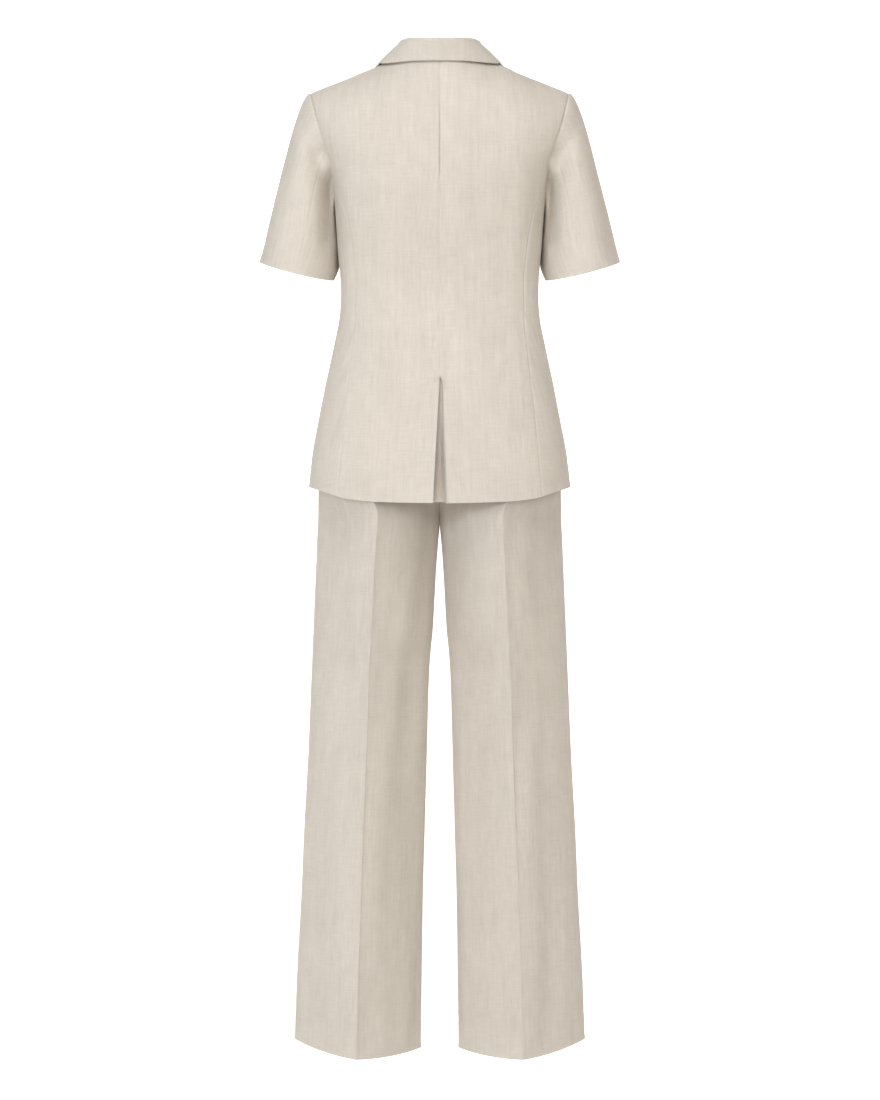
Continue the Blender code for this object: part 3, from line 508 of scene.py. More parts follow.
def collar_half():
    """Left half of the collar: rows run from the neck seam over the fold to its edge."""
    share = np.linspace(0, 1, COLLAR_STEPS + 1)
    fold = np.stack([COLLAR.at(n, share) for n in ("fold_x", "fold_y", "fold_z")], axis=-1)
    edge_x, edge_z = COLLAR.at("edge_x", share), COLLAR.at("edge_z", share)
    back = share < COLLAR_RIDGE
    lift = CLOTH + LIE
    edge = np.where(
        back[:, None],
        above_torso(edge_x, edge_z, 1, lift),
        above_torso(edge_x, edge_z, -1, lift),
    )
    turn = np.clip(share / COLLAR_RIDGE, 0, 1) * math.pi / 2
    base_back = torso_point(*neck_seam(turn), 1)
    past = np.clip((share - COLLAR_RIDGE) / (1 - COLLAR_RIDGE), 0, 1)
    roll_z = SHOULDER.at("height", NECK_X) + past * (GORGE_Z - SHOULDER.at("height", NECK_X))
    base_front = torso_point(roll_x(roll_z), roll_z, -1)
    base = np.where(back[:, None], base_back, base_front)
    inward = unit(np.stack([base[:, 0], base[:, 1], 0 * base[:, 2]], axis=-1))
    base = base - inward * CLOTH + np.array([0, 0, 2 * SEAM])
    out = unit(edge - base)
    out[:, 2] = 0
    out = unit(out)
    up = np.array([0.0, 0.0, COLLAR_TURN])
    stand = fold - out * COLLAR_TURN - up
    rows = [base + (stand - base) * q for q in np.linspace(0, 1, STAND_STEPS + 1)]
    for angle in np.linspace(math.pi, 0, TURN_STEPS + 1)[1:]:
        rows.append(fold - up + out * COLLAR_TURN * math.cos(angle) + up * math.sin(angle))
    start = rows[-1]
    bend = out * COLLAR_BULGE + np.array([0.0, 0.0, COLLAR_LIFT])
    for q in np.linspace(0, 1, FALL_STEPS + 1)[1:]:
        rows.append(start + (edge - start) * q + bend * 4 * q * (1 - q))
    return np.array(rows)


def collar_panel():
    half = collar_half()
    return np.concatenate([half[:, ::-1], mirrored(half[:, ::-1])[:, 1:]], axis=1)


def lapel_panel(lift):
    """Left lapel, columns from the roll line outwards, lying on the front."""
    share = np.linspace(0, 1, LAPEL_STEPS + 1)
    z = np.linspace(BREAK_Z + LAPEL_FOOT, GORGE_Z - LAPEL_HEAD, LAPEL_STEPS + 1)
    roll = np.stack([roll_x(z) + LAPEL_ASIDE, z], axis=-1)
    reach = LAPEL.at("reach", share)
    outer = roll + np.array(LAPEL_SLANT) * reach[:, None]
    outer[:, 1] -= LAPEL_POINT_DROP * smooth((share - LAPEL_POINT) / (1 - LAPEL_POINT))
    w = np.linspace(0, 1, LAPEL_ACROSS + 1)[None, :, None]
    flat = (1 - w) * roll[:, None, :] + w * outer[:, None, :]
    points = above_torso(flat[..., 0], flat[..., 1], -1, CLOTH + LAPEL_LIE)
    points[..., 1] -= lift * lap_share(flat[..., 0], flat[..., 1])
    return points


# Sleeves

def trough(points, fold):
    """Shift towards the arm of a soft fold along a line of the sleeve's back and front."""
    depth = fold_depth(points, fold)
    side = np.sign(points[..., 1]) * smooth(np.abs(points[..., 1]) / SLEEVE_FOLD_TURN)
    return stack(0 * depth, side * depth, 0 * depth)


def armhole_ring():
    """The left armhole from the shoulder tip down the back, under the arm and up the front."""
    back, front, side = back_panel(0.0)[:, 0], front_panel(0.0)[:, -1], side_panel()[-1]
    down = back[::-1][: ARM_STEPS + 1]
    under = side[::-1][1:]
    up = front[-ARM_STEPS:-1]
    return np.concatenate([down, under, up])


def sleeve_tube():
    """Left sleeve, rows from its hem up to the armhole, columns round from the outer line."""
    ring = armhole_ring()
    step = np.linalg.norm(np.diff(np.vstack([ring, ring[:1]]), axis=0), axis=1)
    turn = 2 * math.pi * np.concatenate([[0], np.cumsum(step)[:-1]]) / step.sum()
    outer = np.array([SLEEVE_OUT[0], 0.0, SLEEVE_OUT[1]])
    inner = np.array([SLEEVE_IN[0], 0.0, SLEEVE_IN[1]])
    across = (outer - inner) / 2
    centre = (outer + inner) / 2 + np.array([0, SLEEVE_CENTRE_Y, 0])
    depth = np.array([0, SLEEVE_DEPTH, -SLEEVE_BACK_DROP])
    hem = centre + np.cos(turn)[:, None] * across + np.sin(turn)[:, None] * depth
    axis = unit(np.array([across[2], 0, -across[0]]))
    length = np.linalg.norm(hem - ring, axis=1)[:, None]
    head = ((1 + np.cos(turn)) / 2)[:, None] ** 2
    start = head * np.array(SLEEVE_HEAD) + (1 - head) * (axis * length + np.array(SLEEVE_SPRING))
    end = axis * length
    s = np.linspace(1, 0, SLEEVE_STEPS + 1)[:, None, None] ** SLEEVE_EASE
    tube = (
        (1 + 2 * s) * (1 - s) ** 2 * ring
        + s * (1 - s) ** 2 * start
        + s * s * (3 - 2 * s) * hem
        + s * s * (s - 1) * end
    )
    inner_side = ((1 - np.cos(turn)) / 2)[:, None] ** 2
    tube[..., :2] -= np.array(SLEEVE_HUG) * inner_side * 4 * s * (1 - s)
    for row in SLEEVE_FOLD_ROWS:
        tube -= trough(tube, dict(zip(SLEEVE_FOLD_NAMES.split(), row)))
    tube[-1] = ring
    return tube


def sleeve_panels():
    """The top sleeve over the outside of the arm and the under sleeve beneath it."""
    tube = sleeve_tube()
    count = tube.shape[1]
    back, front = SLEEVE_SEAM_BACK, count - SLEEVE_SEAM_FRONT
    over = [i % count for i in range(front, count + back + 1)]
    under = list(range(back, front + 1))
    return tube[:, over], tube[:, under]


# Trousers

def pelvis_point(t, z, side):
    """Left half of the hips; t runs from the side seam (0) to the centre (1)."""
    turn = (1 - t) * math.pi / 2
    x = PELVIS.at("half_width", z) * np.sin(turn) ** (2 / ROUNDNESS)
    y = PELVIS.at("back" if side > 0 else "front", z) * np.cos(turn) ** (2 / ROUNDNESS)
    return stack(np.where(t >= 1, 0.0, x), side * np.where(t <= 0, 0.0, y), z)


def leg_point(t, z, side):
    """Left leg's back or front half, with a pressed crease in its middle."""
    inner, outer = LEG.at("inner", z), LEG.at("outer", z)
    across = np.cos(math.pi * t)
    depth = LEG.at("back" if side > 0 else "front", z)
    reach = np.clip(1 - np.abs(across) ** CREASE_SHARP, 0, 1) ** CREASE_ROUND
    return stack((inner + outer) / 2 + across * (outer - inner) / 2, side * depth * reach, z)


def trouser_point(t, z, side):
    part = smooth((HIP_LINE - z) / (HIP_LINE - CROTCH))[..., None]
    return (1 - part) * pelvis_point(t, z, side) + part * leg_point(t, z, side)


def quarter_steps():
    """Steps from the side seam to the centre, closer together at the pressed crease."""
    return finer(np.linspace(0, 1, QUARTER_STEPS + 1), (0.5,), QUARTER_WIDTH)


def trouser_panel(side):
    """Left back or front, columns from the side seam to the seat seam and inseam."""
    heights = np.concatenate([
        np.linspace(LEG_HEM, CROTCH, LEG_STEPS + 1),
        np.linspace(CROTCH, HIP_LINE, CROTCH_STEPS + 1)[1:],
        np.linspace(HIP_LINE, WAIST_LOW, WAIST_STEPS + 1)[1:],
    ])
    t = quarter_steps()[None, :] * np.ones((len(heights), 1))
    tilt = LEG_HEM_TILT * np.cos(math.pi * t) - side * LEG_HEM_DROP * np.sin(math.pi * t) ** 2
    near_hem = smooth((LEG_SHAPE_TOP - heights) / (LEG_SHAPE_TOP - LEG_HEM))[:, None]
    z = heights[:, None] + tilt * near_hem
    grid = trouser_point(t, z, side)
    return grid if side > 0 else grid[:, ::-1]


def waistband_panel():
    """One band round the waist, from the centre front round the back to the centre front."""
    z = np.linspace(WAIST_LOW, WAIST_TOP, BAND_STEPS + 1)[:, None]
    t = quarter_steps()[None, :]
    ones = np.ones((len(z), t.size))
    back = pelvis_point(t * ones, z * ones, 1)
    front = pelvis_point(t * ones, z * ones, -1)[:, ::-1]
    left = np.concatenate([front, back[:, 1:]], axis=1)
    return np.concatenate([left, mirrored(left)[:, 1:]], axis=1)


# Cloth of the looks: each panel of the part, finely divided, with its creases and seams

THICK = 0.0013  # cloth of the looks; the collar, whose grid is its inner side, has the part's
RIDGE_STEPS = (0.0010, 0.0024, 0.0044)  # extra grid lines beside a seam, edge or crease
SHARP_CLOTH, SHARP_HORN = 55, 40  # degrees from which an edge shows as sharp
SPOT_DIGITS = 5  # places that agree this far are one point of a seam
SEAM_DIP, SEAM_WIDTH = 0.00050, 0.0011
ARMHOLE_MORE = 1.6  # the armhole seam is deeper than the others by this share
ARMHOLE_REACH = 0.012  # height over which the side seam turns into the armhole's
COVERED_LOW, COVERED_REACH = -0.612, 0.030  # the trousers lie flat under the jacket
VENT_ROLL = 0.0075  # radius in which the right back turns inwards along the vent
VENT_SPRING, VENT_SPRING_WIDTH = 0.0070, 0.024  # the left back springs out along the vent
VENT_OPEN = 0.012  # height over which both take their full shape
SEAM_PUFF, PUFF_AT, PUFF_WIDTH = 0.00015, 0.0042, 0.0030
SEAM_PUFF_REACH = 0.006  # height over which the centre back seam ends at the vent
HEM_SWELL, HEM_SWELL_WIDTH = 0.0006, 0.0050
BLIND_DIP, BLIND_WIDTH = 0.00035, 0.0022  # line of the stitches that hold up a hem
CREASE_RISE, CREASE_WIDTH = 0.0007, 0.0018  # pressed edge of a trouser crease
CREASE_FROM, CREASE_REACH = -0.645, 0.090  # it sharpens down the leg

# Borders of each panel: s seam, h hem, e plain edge, v seam above the vent and edge below
BORDER_NAMES = "panel bottom top first last"
BORDER_ROWS = [
    ("blazer_back", "h", "s", "s", "v"),
    ("blazer_side", "h", "s", "s", "s"),
    ("blazer_front", "h", "s", "e", "s"),
    ("sleeve_top", "h", "s", "s", "s"),
    ("sleeve_under", "h", "s", "s", "s"),
    ("trouser_back", "h", "s", "s", "s"),
    ("trouser_front", "h", "s", "s", "s"),
    ("waistband", "s", "e", "e", "e"),
    ("collar", "s", "e", "e", "e"),
    ("lapel", "e", "e", "e", "e"),
    ("vent_underlap", "h", "e", "e", "e"),
]
BLIND_AT = {"blazer": 0.036, "sleeve": 0.030, "trouser": 0.042}  # its distance from the hem

# Soft folds: a line on a panel, positive depth is a trough and negative a ridge
FOLD_NAMES = "panel x0 z0 x1 z1 width depth"
FOLD_ROWS = [
    ("trouser_back_right", -0.1120, -0.7250, -0.1400, -0.8450, 0.0120, -0.0020),
    ("trouser_back_right", -0.1500, -0.7550, -0.1300, -0.9600, 0.0130, 0.0026),
    ("trouser_back_left", 0.1450, -0.7800, 0.1300, -1.0200, 0.0150, 0.0016),
    ("trouser_back_left", 0.0500, -1.0500, 0.0620, -1.3000, 0.0160, 0.0012),
    ("trouser_back_right", -0.0480, -0.9800, -0.0600, -1.2400, 0.0160, 0.0012),
    ("trouser_front_left", 0.1300, -0.7200, 0.1420, -0.9300, 0.0150, 0.0020),
    ("trouser_front_right", -0.1250, -0.7000, -0.1400, -0.8800, 0.0140, 0.0022),
    ("trouser_front_left", 0.0500, -0.9500, 0.0600, -1.2000, 0.0170, 0.0012),
    ("trouser_back_left", 0.0440, -0.6000, 0.0450, -0.8200, 0.0280, -0.0070),
    ("trouser_back_right", -0.0440, -0.6000, -0.0450, -0.8200, 0.0280, -0.0070),
    ("blazer_back_left", 0.0900, -0.3200, 0.1180, -0.3850, 0.0130, 0.0010),
    ("blazer_back_right", -0.0950, -0.3350, -0.1150, -0.3950, 0.0140, 0.0012),
    ("blazer_back_left", 0.0040, -0.4610, 0.0440, -0.4785, 0.0022, 0.0007),
    ("blazer_front_left", 0.0650, -0.3400, 0.1050, -0.3050, 0.0130, 0.0014),
    ("blazer_front_right", -0.0620, -0.3500, -0.1020, -0.3120, 0.0140, 0.0012),
]
WAVE_COUNT, WAVE_SEED = 14, 11
WAVE_SHORT, WAVE_LONG = 0.045, 0.160  # wavelengths across the grain
WAVE_STRETCH = 3.2  # waves are this much longer along the grain
WAVE_TILT, WAVE_LEAN = 0.35, 0.4  # how far their headings spread, and lean from front to back
WAVE_EDGE = 0.020  # width in which they die away towards a border
WAVE_HEIGHT = {"trouser": 0.00110, "blazer": 0.00055, "sleeve_top": 0.00060, "sleeve": 0.00015}


def family(name, table):
    """The table's value for the piece's kind, and 0 for a kind that it doesn't name."""
    return next((value for kind, value in table.items() if name.startswith(kind)), 0.0)


def finer(steps, at, length):
    """Steps of a grid with extra lines close to the given places."""
    more = [steps]
    for place in at:
        close = np.array(RIDGE_STEPS) / length
        more += [place + close, place - close]
    joined = np.unique(np.round(np.concatenate(more), 6))
    return joined[(joined >= 0) & (joined <= 1)]


def along(grid, axis):
    """Distance along the rows or columns of a grid."""
    step = np.linalg.norm(np.diff(grid, axis=axis), axis=-1)
    start = np.zeros_like(np.take(step, [0], axis=axis))
    return np.cumsum(np.concatenate([start, step], axis=axis), axis=axis)


def resampled(grid, axis):
    """The grid with extra lines close to both of its borders."""
    length = np.median(np.take(along(grid, axis), [-1], axis=axis))
    count = grid.shape[axis]
    steps = finer(np.linspace(0, 1, count), (0.0, 1.0), length) * (count - 1)
    low = np.clip(steps.astype(int), 0, count - 2)
    part = steps - low
    part = part[:, None, None] if axis == 0 else part[None, :, None]
    return np.take(grid, low, axis=axis) * (1 - part) + np.take(grid, low + 1, axis=axis) * part


def near(distance, width):
    return np.exp(-((distance / width) ** 2))


def waves(points, height):
    """Low, uneven undulation that runs along the grain."""
    rng = np.random.default_rng(WAVE_SEED)
    total = np.zeros(points.shape[:-1])
    for _ in range(WAVE_COUNT):
        length = rng.uniform(WAVE_SHORT, WAVE_LONG)
        tilt = rng.normal(0.0, WAVE_TILT)
        phase = rng.uniform(0, 2 * math.pi)
        drift = math.sin(tilt)
        heading = np.array([math.cos(tilt), drift + WAVE_LEAN, drift / WAVE_STRETCH])
        total += np.sin(points @ heading * 2 * math.pi / length + phase)
    return total * height / math.sqrt(WAVE_COUNT / 2)


def fold_depth(points, fold):
    start = np.array([fold["x0"], fold["z0"]])
    run = np.array([fold["x1"], fold["z1"]]) - start
    away = points[..., [0, 2]] - start
    share = np.clip(away @ run / (run @ run), 0, 1)
    distance = np.linalg.norm(away - share[..., None] * run, axis=-1)
    return fold["depth"] * near(distance, fold["width"])


def armhole_share(name, place, grid):
    """1 where a border is sewn round the armhole and 0 elsewhere."""
    if name.startswith(("sleeve", "blazer_side")):
        return 1.0 if place == "top" else 0.0
    if name.startswith(("blazer_back", "blazer_front")) and place in ("first", "last"):
        return smooth((grid[..., 2] - ARM_JOIN) / ARMHOLE_REACH)
    return 0.0


def relief(name, grid):
    """Height of the cloth's surface over the panel's plain form."""
    rows = [dict(zip(BORDER_NAMES.split(), row)) for row in BORDER_ROWS]
    border = next(row for row in rows if name.startswith(row["panel"]))
    if name.endswith("right"):
        border["first"], border["last"] = border["last"], border["first"]
    down, across = along(grid, 0), along(grid, 1)
    distance = {
        "bottom": down,
        "top": down[-1:] - down,
        "first": across,
        "last": across[:, -1:] - across,
    }
    height = waves(grid, family(name, WAVE_HEIGHT))
    edge = np.minimum.reduce(list(distance.values()))
    height *= smooth(edge / WAVE_EDGE)
    if name.startswith("trouser"):
        height *= smooth((COVERED_LOW - grid[..., 2]) / COVERED_REACH)
    for place, far in distance.items():
        kind = border[place]
        seam = np.full(far.shape, 1.0 if kind == "s" else 0.0)
        if kind == "v":
            seam = smooth((grid[..., 2] - VENT_TOP) / SEAM_PUFF_REACH)
            opened = smooth((VENT_TOP - grid[..., 2]) / VENT_OPEN)
            if name.endswith("right"):
                inside = np.clip(VENT_ROLL - far, 0, VENT_ROLL)
                height -= opened * (VENT_ROLL - np.sqrt(VENT_ROLL**2 - inside**2))
            else:
                height += opened * VENT_SPRING * near(far, VENT_SPRING_WIDTH)
        dip = SEAM_DIP * (1 + ARMHOLE_MORE * armhole_share(name, place, grid))
        puff = SEAM_PUFF * near(far - PUFF_AT, PUFF_WIDTH)
        height += seam * (puff - dip * near(far, SEAM_WIDTH))
        if kind == "h":
            height += HEM_SWELL * near(far, HEM_SWELL_WIDTH)
            height -= BLIND_DIP * near(far - family(name, BLIND_AT), BLIND_WIDTH)
    if name.startswith("trouser"):
        middle = (grid.shape[1] - 1) // 2
        far = np.abs(across - across[:, middle:middle + 1])
        pressed = smooth((CREASE_FROM - grid[..., 2]) / CREASE_REACH)
        height += CREASE_RISE * pressed * near(far, CREASE_WIDTH)
    for row in FOLD_ROWS:
        fold = dict(zip(FOLD_NAMES.split(), row))
        if fold["panel"] == name:
            height -= fold_depth(grid, fold)
    return height


def point_sums(panels):
    """Sum of the face directions round each point, joined where panels share a border."""
    own, counts, shared = {}, {}, {}
    for name, grid in panels.items():
        faces = unit(np.cross(grid[1:, 1:] - grid[:-1, :-1], grid[1:, :-1] - grid[:-1, 1:]))
        total, count = np.zeros_like(grid), np.zeros(grid.shape[:2])
        for i in (0, 1):
            for j in (0, 1):
                rows = slice(i, grid.shape[0] - 1 + i)
                cols = slice(j, grid.shape[1] - 1 + j)
                total[rows, cols] += faces
                count[rows, cols] += 1
        own[name] = total
        for i, j in border_places(grid):
            key = spot(grid[i, j])
            shared[key] = shared.get(key, 0) + total[i, j]
            counts[key] = counts.get(key, 0) + count[i, j]
    for name, grid in panels.items():
        for i, j in border_places(grid):
            key = spot(grid[i, j])
            weak = np.linalg.norm(shared[key]) < WEAK_SHARE * counts[key]
            own[name][i, j] = (0, 0, -1) if weak else shared[key]
        own[name] = unit(own[name])
    return own


def border_places(grid):
    rows, cols = grid.shape[:2]
    places = [(0, j) for j in range(cols)] + [(i, cols - 1) for i in range(1, rows)]
    places += [(rows - 1, j) for j in range(cols - 1)] + [(i, 0) for i in range(1, rows - 1)]
    return places


def spot(point):
    """The place of a point, which the panels that meet there share."""
    return tuple(np.round(point, SPOT_DIGITS) + 0.0)


def flat_coordinates(name, grid):
    """The cloth's own coordinates: across from a line that lies on the grain, and along it."""
    across, down = along(grid, 1), along(grid, 0)
    middle = (grid.shape[1] - 1) // 2
    if name.startswith(("blazer_back", "blazer_front")):
        middle = int(np.abs(grid[grid.shape[0] // 2, :, 0]).argmin())
    u = across - across[:, middle:middle + 1]
    if name.startswith(("collar", "lapel")):
        v = down
    elif name.startswith("sleeve"):
        slope = unit(np.array([SLEEVE_OUT[0] - SLEEVE_IN[0], SLEEVE_OUT[1] - SLEEVE_IN[1]]))
        side = 1.0 if name.endswith("left") else -1.0
        v = grid @ np.array([-slope[1] * side, 0.0, slope[0]])
    else:
        v = grid[..., 2]
    return u, v


def add_object(name, data):
    made = bpy.data.objects.new(name, data)
    bpy.context.scene.collection.objects.link(made)
    return made


def add_cloth(name, grid, normals, material):
    """A thin closed wall of cloth on the outer surface of the CAD piece, which it replaces."""
    outer = grid + normals * relief(name, grid)[..., None]
    inner = outer - (CLOTH if name == "collar" else THICK) * normals
    rows, cols = grid.shape[:2]
    far = rows * cols
    at = np.arange(far).reshape(rows, cols)
    quads = np.stack([at[:-1, :-1], at[:-1, 1:], at[1:, 1:], at[1:, :-1]], axis=-1).reshape(-1, 4)
    rim = np.concatenate([at[0], at[1:, -1], at[-1, -2::-1], at[-2:0:-1, 0]])
    after = np.roll(rim, -1)
    sides = np.stack([after, rim, rim + far, after + far], axis=-1)
    faces = np.concatenate([quads, quads[:, ::-1] + far, sides])
    verts = np.concatenate([outer.reshape(-1, 3), inner.reshape(-1, 3)])
    mesh = bpy.data.meshes.new(name + "_cloth")
    mesh.from_pydata(verts.tolist(), [], faces.tolist())
    flat = np.stack(flat_coordinates(name, grid), axis=-1).reshape(-1, 2)
    flat = np.concatenate([flat, flat])
    layer = mesh.uv_layers.new(name="UVMap")
    corner = np.zeros(len(mesh.loops), dtype=np.int32)
    mesh.loops.foreach_get("vertex_index", corner)
    layer.data.foreach_set("uv", flat[corner].ravel())
    mesh.shade_smooth()
    mesh.set_sharp_from_angle(angle=math.radians(SHARP_CLOTH))
    mesh.materials.append(material)
    cloth = add_object(name + "_cloth", mesh)
    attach(cloth, "root")
    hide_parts(name)
    width, length = along(grid, 1)[:, -1].max(), along(grid, 0)[-1].max()
    across, up = grid[:-1, 1:] - grid[:-1, :-1], grid[1:, :-1] - grid[:-1, :-1]
    area = np.linalg.norm(np.cross(across, up), axis=-1).sum()
    rests = family(name, REST_ON)
    area = min(area, width * length)


REST_ON = {
    "blazer_back": ["collar_cloth"],
    "blazer_front": ["collar_cloth"],
    "blazer_side": ["blazer_back_left_cloth"],
    "sleeve": ["blazer_back_left_cloth"],
    "trouser": ["waistband_cloth"],
    "waistband": ["waist_button"],
    "collar": ["blazer_back_left_cloth"],
    "lapel": ["blazer_front_left_cloth"],
    "vent_underlap": ["blazer_back_right_cloth"],
}

# Materials

LINEN_SURFACE = {
    "Roughness": 0.88,
    "Specular IOR Level": 0.22,
    "Sheen Weight": 0.18,
    "Sheen Roughness": 0.45,
    "Sheen Tint": (1.0, 0.96, 0.90, 1.0),
}
THREAD_ROUGHNESS = 0.55  # how much the finer parts of a slub add
THREAD_BUMP, THREAD_RISE = 0.28, 0.0006
HORN_SURFACE = {"Roughness": 0.32}
HORN_DARK, HORN_LIGHT = (0.30, 0.21, 0.13), (0.58, 0.46, 0.33)
HORN_CLOUDS = {"Scale": 140.0, "Detail": 3.0}
STUDIO_SURFACE = {
    "Base Color": (0.90, 0.90, 0.90, 1.0),
    "Roughness": 0.95,
    "Specular IOR Level": 0.0,
    "Emission Color": (1.0, 1.0, 1.0, 1.0),
}


def set_inputs(node, values):
    for socket, value in values.items():
        node.inputs[socket].default_value = value


def new_material(name, surface):
    """A material with the given values on its shader, its node tree and its shader."""
    made = bpy.data.materials.new(name)
    made.use_nodes = True
    tree = made.node_tree
    shader = tree.nodes["Principled BSDF"]
    set_inputs(shader, surface)
    return made, tree, shader


def colour_between(tree, factor, dark, light, shader):
    """Colours the shader between a dark and a light tone."""
    mix = tree.nodes.new("ShaderNodeMix")
    mix.data_type = "RGBA"
    set_inputs(mix, {"A": (*dark, 1.0), "B": (*light, 1.0)})
    tree.links.new(factor, mix.inputs["Factor"])
    tree.links.new(mix.outputs["Result"], shader.inputs["Base Color"])


def linen_material():
    """Plain-woven linen: slubby warp and weft threads, a dry face and a little fuzz."""
    made, tree, shader = new_material("linen_cloth", LINEN_SURFACE)
    uv = tree.nodes.new("ShaderNodeUVMap")
    uv.uv_map = "UVMap"
    total = None
    for u_size, v_size, weight, detail in THREADS:
        place = tree.nodes.new("ShaderNodeMapping")
        place.inputs["Scale"].default_value = (1 / u_size, 1 / v_size, 1.0)
        tree.links.new(uv.outputs["UV"], place.inputs["Vector"])
        noise = tree.nodes.new("ShaderNodeTexNoise")
        set_inputs(noise, {"Scale": 1.0, "Detail": detail, "Roughness": THREAD_ROUGHNESS})
        tree.links.new(place.outputs["Vector"], noise.inputs["Vector"])
        part = tree.nodes.new("ShaderNodeMath")
        part.operation = "MULTIPLY_ADD"
        part.inputs[1].default_value = weight
        tree.links.new(noise.outputs["Fac"], part.inputs[0])
        if total is None:
            part.inputs[2].default_value = 0.5 - 0.5 * sum(row[2] for row in THREADS)
        else:
            tree.links.new(total, part.inputs[2])
        total = part.outputs["Value"]
    colour_between(tree, total, LINEN_DARK, LINEN_LIGHT, shader)
    bump = tree.nodes.new("ShaderNodeBump")
    set_inputs(bump, {"Strength": THREAD_BUMP, "Distance": THREAD_RISE})
    tree.links.new(total, bump.inputs["Height"])
    tree.links.new(bump.outputs["Normal"], shader.inputs["Normal"])
    return made


def horn_material():
    """Pale horn with soft darker clouds."""
    made, tree, shader = new_material("pale_horn", HORN_SURFACE)
    place = tree.nodes.new("ShaderNodeTexCoord")
    noise = tree.nodes.new("ShaderNodeTexNoise")
    set_inputs(noise, HORN_CLOUDS)
    tree.links.new(place.outputs["Object"], noise.inputs["Vector"])
    colour_between(tree, noise.outputs["Fac"], HORN_DARK, HORN_LIGHT, shader)
    return made


# Buttons: sizes are shares of a button's radius and thickness

BUTTON_WELL = 0.66  # height of the sunken middle
BUTTON_PROFILE = [
    (0.0, 0.0),
    (0.86, 0.0),
    (1.0, 0.35),
    (1.0, 0.70),
    (0.93, 0.97),
    (0.84, 1.0),
    (0.74, 0.92),
    (0.66, 0.72),
    (0.40, BUTTON_WELL),
    (0.0, BUTTON_WELL),
]
STITCH_HALF, STITCH_WIDE, STITCH_HIGH = 0.27, 0.07, 0.10
STITCH_SIDES = [(0, 1, 3, 2), (4, 6, 7, 5), (0, 4, 5, 1), (2, 3, 7, 6), (0, 2, 6, 4), (1, 5, 7, 3)]


def add_button(name, centre, normal, radius, thick):
    """A button with a raised rim and a sunken middle, with the thread that sews it on."""
    rows = np.array(BUTTON_PROFILE) * (radius, thick)
    turns = np.linspace(0, 2 * math.pi, BUTTON_TURNS, endpoint=False)
    verts, faces = [(0.0, 0.0, 0.0)], []
    for r, h in rows[1:-1]:
        verts += [(r * math.cos(a), r * math.sin(a), h) for a in turns]
    verts.append((0.0, 0.0, rows[-1][1]))
    rings = len(rows) - 2
    for k in range(BUTTON_TURNS):
        n = (k + 1) % BUTTON_TURNS
        faces.append((0, 1 + n, 1 + k))
        for ring in range(rings - 1):
            low, high = 1 + ring * BUTTON_TURNS, 1 + (ring + 1) * BUTTON_TURNS
            faces.append((low + k, low + n, high + n, high + k))
        last = 1 + (rings - 1) * BUTTON_TURNS
        faces.append((last + k, last + n, len(verts) - 1))
    mesh = bpy.data.meshes.new(name + "_horn")
    mesh.from_pydata(verts, [], faces)
    mesh.shade_smooth()
    mesh.set_sharp_from_angle(angle=math.radians(SHARP_HORN))
    mesh.materials.append(horn)
    button = add_object(name + "_horn", mesh)
    turn = Vector(normal).to_track_quat("Z", "Y").to_matrix().to_4x4()
    place = Matrix.Translation(Vector(centre)) @ turn
    button.matrix_world = place
    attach(button, "root")
    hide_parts(name)
    for k, angle in enumerate((math.pi / 4, -math.pi / 4)):
        bar = bpy.data.meshes.new(f"{name}_thread_{k}")
        half, wide = radius * STITCH_HALF, radius * STITCH_WIDE
        box = [
            (x * half, y * wide, thick * BUTTON_WELL + z * thick * STITCH_HIGH)
            for x in (-1, 1)
            for y in (-1, 1)
            for z in (-1, 1)
        ]
        bar.from_pydata(box, [], STITCH_SIDES)
        bar.materials.append(linen)
        stitch = add_object(f"{name}_thread_{k}", bar)
        stitch.matrix_world = place @ Matrix.Rotation(angle, 4, "Z")
        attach(stitch, "root")


# The suit

def blazer_panels():
    over, under = sleeve_panels()
    side = side_panel()
    return {
        "blazer_back_left": back_panel(VENT_LEFT),
        "blazer_back_right": mirrored(back_panel(-VENT_RIGHT)),
        "blazer_side_left": side,
        "blazer_side_right": mirrored(side),
        "blazer_front_left": front_panel(0.0),
        "blazer_front_right": mirrored(front_panel(LAP_LIFT)),
        "sleeve_top_left": over,
        "sleeve_top_right": mirrored(over),
        "sleeve_under_left": under,
        "sleeve_under_right": mirrored(under),
    }


def trouser_panels():
    back, front = trouser_panel(1), trouser_panel(-1)
    return {
        "trouser_back_left": back,
        "trouser_back_right": mirrored(back),
        "trouser_front_left": front,
        "trouser_front_right": mirrored(front),
        "waistband": waistband_panel(),
    }


def loose_panels():
    return {
        "collar": collar_panel(),
        "lapel_left": lapel_panel(0.0),
        "lapel_right": mirrored(lapel_panel(LAP_LIFT)),
        "vent_underlap": vent_underlap(),
    }


linen, horn = linen_material(), horn_material()
for panels in (blazer_panels(), trouser_panels()):
    panels = {name: resampled(resampled(grid, 0), 1) for name, grid in panels.items()}
    normals = point_sums(panels)
    for name, grid in panels.items():
        add_cloth(name, grid, normals[name], linen)
for name, grid in loose_panels().items():
    grid = resampled(resampled(grid, 0), 1)
    add_cloth(name, grid, point_sums({name: grid})[name], linen)

